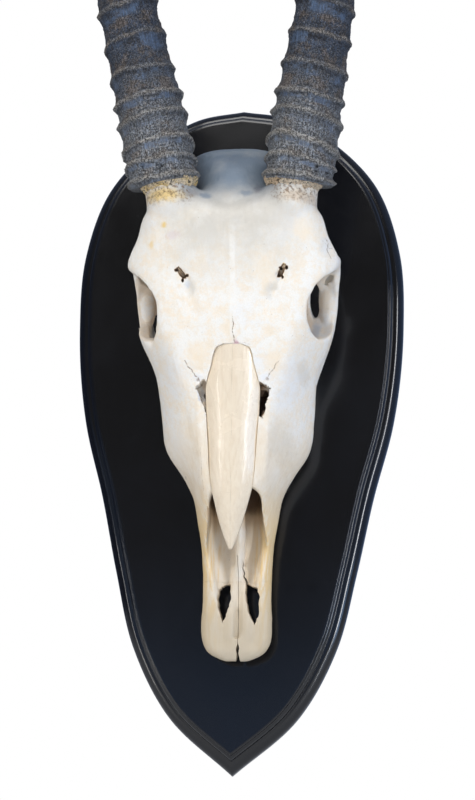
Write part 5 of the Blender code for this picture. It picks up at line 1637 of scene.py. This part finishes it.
class SKULLMOUNT_OT_stage(bpy.types.Operator):
    """Build the pale floor, the soft lights and the camera"""
    bl_idname = "skull_mount.stage"
    bl_label = "Studio"

    def execute(self, context):
        stage = context.scene.stage_settings
        half = 4.0
        floor = mesh_object("stage_floor",
                            [(-half, -half, stage.floor_z), (half, -half, stage.floor_z),
                             (half, half, stage.floor_z), (-half, half, stage.floor_z)], [(0, 1, 2, 3)])
        made, w, shader, here = new_material("stage_paint")
        w.feed(shader.inputs["Base Color"],
               w.blend(w.noise(here, 3.0, 3.0), stage.pale, [c * 0.97 for c in stage.pale]))
        w.feed(shader.inputs["Roughness"], w.span(w.noise(here, 20.0), 0.3, 0.7, 0.75, 0.9))
        floor.data.materials.append(made)
        self.sky(context)
        self.lamp("side_light_left", (-1.5, -1.4, 0.1), (0.3, 1.1), stage.key, (1.0, 0.97, 0.93), False)
        self.lamp("side_light_right", (1.45, -1.45, 0.1), (0.22, 1.1), stage.key * 1.1, (0.97, 0.97, 1.0))
        self.lamp("gleam_left", (-0.93, -0.87, -0.3), (0.07, 0.5), stage.gleam, (1.0, 0.97, 0.93))
        self.lamp("gleam_right", (0.8, -0.87, -0.3), (0.04, 0.5), stage.gleam, (0.92, 0.96, 1.0))
        self.lamp("edge_light_right", (1.2, -0.8, -0.35), (0.6, 0.25), stage.edge, (0.35, 0.6, 1.0))
        self.lamp("top_light", (-0.15, -1.5, 1.35), (1.3, 0.8), stage.top, (1.0, 0.99, 0.965))
        self.camera(context, stage)
        context.scene.view_settings.view_transform = "Standard"
        return {"FINISHED"}

    def lamp(self, name, where, size, power, tone, mirrored=True):
        data = bpy.data.lights.new(name, "AREA")
        data.shape = "RECTANGLE"
        data.size, data.size_y = size
        data.energy = power
        data.color = tone
        made = bpy.data.objects.new(name, data)
        bpy.context.scene.collection.objects.link(made)
        made.location = where
        made.visible_glossy = mirrored
        made.rotation_euler = (Vector((0.0, 0.0, 0.02)) - Vector(where)).to_track_quat("-Z", "Y").to_euler()

    def sky(self, context):
        """A white ground behind, and a soft room that is darker in front, so that the lacquer stays black."""
        world = bpy.data.worlds.new("studio")
        context.scene.world = world
        world.use_nodes = True
        w = Wiring(world.node_tree)
        back = world.node_tree.nodes["Background"]
        way = w.node("TexCoord").outputs["Generated"]
        split = w.node("SeparateXYZ", {0: way}).outputs
        side = w.span(split[1], -0.93, -0.45)
        low = w.span(split[2], 0.03, 0.14)
        front = w.blend(low, (0.2, 0.3, 0.5), (0.11, 0.105, 0.095))
        right = w.span(split[0], -0.8, 0.8)
        room = w.blend(right, (0.15, 0.17, 0.22), (0.26, 0.31, 0.42))
        room = w.blend(w.span(split[2], 0.2, 0.9), room, (0.4, 0.43, 0.5))
        mirrored = w.blend(right, (0.04, 0.055, 0.1), (0.16, 0.24, 0.42))
        mirrored = w.blend(w.span(split[2], 0.2, 0.9), mirrored, (0.2, 0.24, 0.34))
        path = w.node("LightPath").outputs
        soft = w.blend(side, front, w.blend(path["Is Glossy Ray"], room, mirrored))
        w.feed(back.inputs["Color"], w.blend(path["Is Camera Ray"], soft, (1.0, 1.0, 1.0)))
        back.inputs["Strength"].default_value = 1.0

    def camera(self, context, stage):
        yaw, pitch, roll = stage.yaw, stage.pitch, stage.roll
        look = Vector((-math.sin(yaw) * math.cos(pitch), math.cos(yaw) * math.cos(pitch), math.sin(pitch)))
        right = look.cross(Vector((0, 0, 1))).normalized()
        up = right.cross(look)
        right, up = right * math.cos(roll) + up * math.sin(roll), up * math.cos(roll) - right * math.sin(roll)
        data = bpy.data.cameras.new("camera")
        data.sensor_width = 36.0
        data.lens = stage.lens
        made = bpy.data.objects.new("camera", data)
        context.scene.collection.objects.link(made)
        turn = Matrix((right, up, -look)).transposed().to_4x4()
        made.matrix_world = Matrix.Translation(CAMERA_AIM - look * stage.distance) @ turn
        context.scene.camera = made


class SKULLMOUNT_PT_panel(bpy.types.Panel):
    """The pieces of the mount, in the order in which they are made"""
    bl_idname = "SKULLMOUNT_PT_panel"
    bl_label = "Skull mount"
    bl_space_type = "VIEW_3D"
    bl_region_type = "UI"
    bl_category = "Skull mount"

    def draw(self, context):
        for name in SETTINGS:
            box = self.layout.box()
            box.label(text=name.replace("_", " ").capitalize())
            group = getattr(context.scene, name)
            for prop in group.bl_rna.properties:
                if prop.identifier not in ("name", "rna_type"):
                    box.prop(group, prop.identifier)
        for operator in OPERATORS:
            self.layout.operator(operator.bl_idname)


OPERATORS = (SKULLMOUNT_OT_shield, SKULLMOUNT_OT_hanger, SKULLMOUNT_OT_cranium, SKULLMOUNT_OT_nasals,
             SKULLMOUNT_OT_teeth, SKULLMOUNT_OT_horns, SKULLMOUNT_OT_stage)


def register():
    for kind in (*SETTINGS.values(), *OPERATORS, SKULLMOUNT_PT_panel):
        bpy.utils.register_class(kind)
    for name, kind in SETTINGS.items():
        setattr(bpy.types.Scene, name, PointerProperty(type=kind))


def unregister():
    for name in SETTINGS:
        delattr(bpy.types.Scene, name)
    for kind in (SKULLMOUNT_PT_panel, *reversed(OPERATORS), *reversed(tuple(SETTINGS.values()))):
        bpy.utils.unregister_class(kind)


def main():
    register()
    for operator in OPERATORS:
        name = operator.bl_idname.split(".")[1]
        getattr(bpy.ops.skull_mount, name)()


if __name__ == "__main__":
    main()
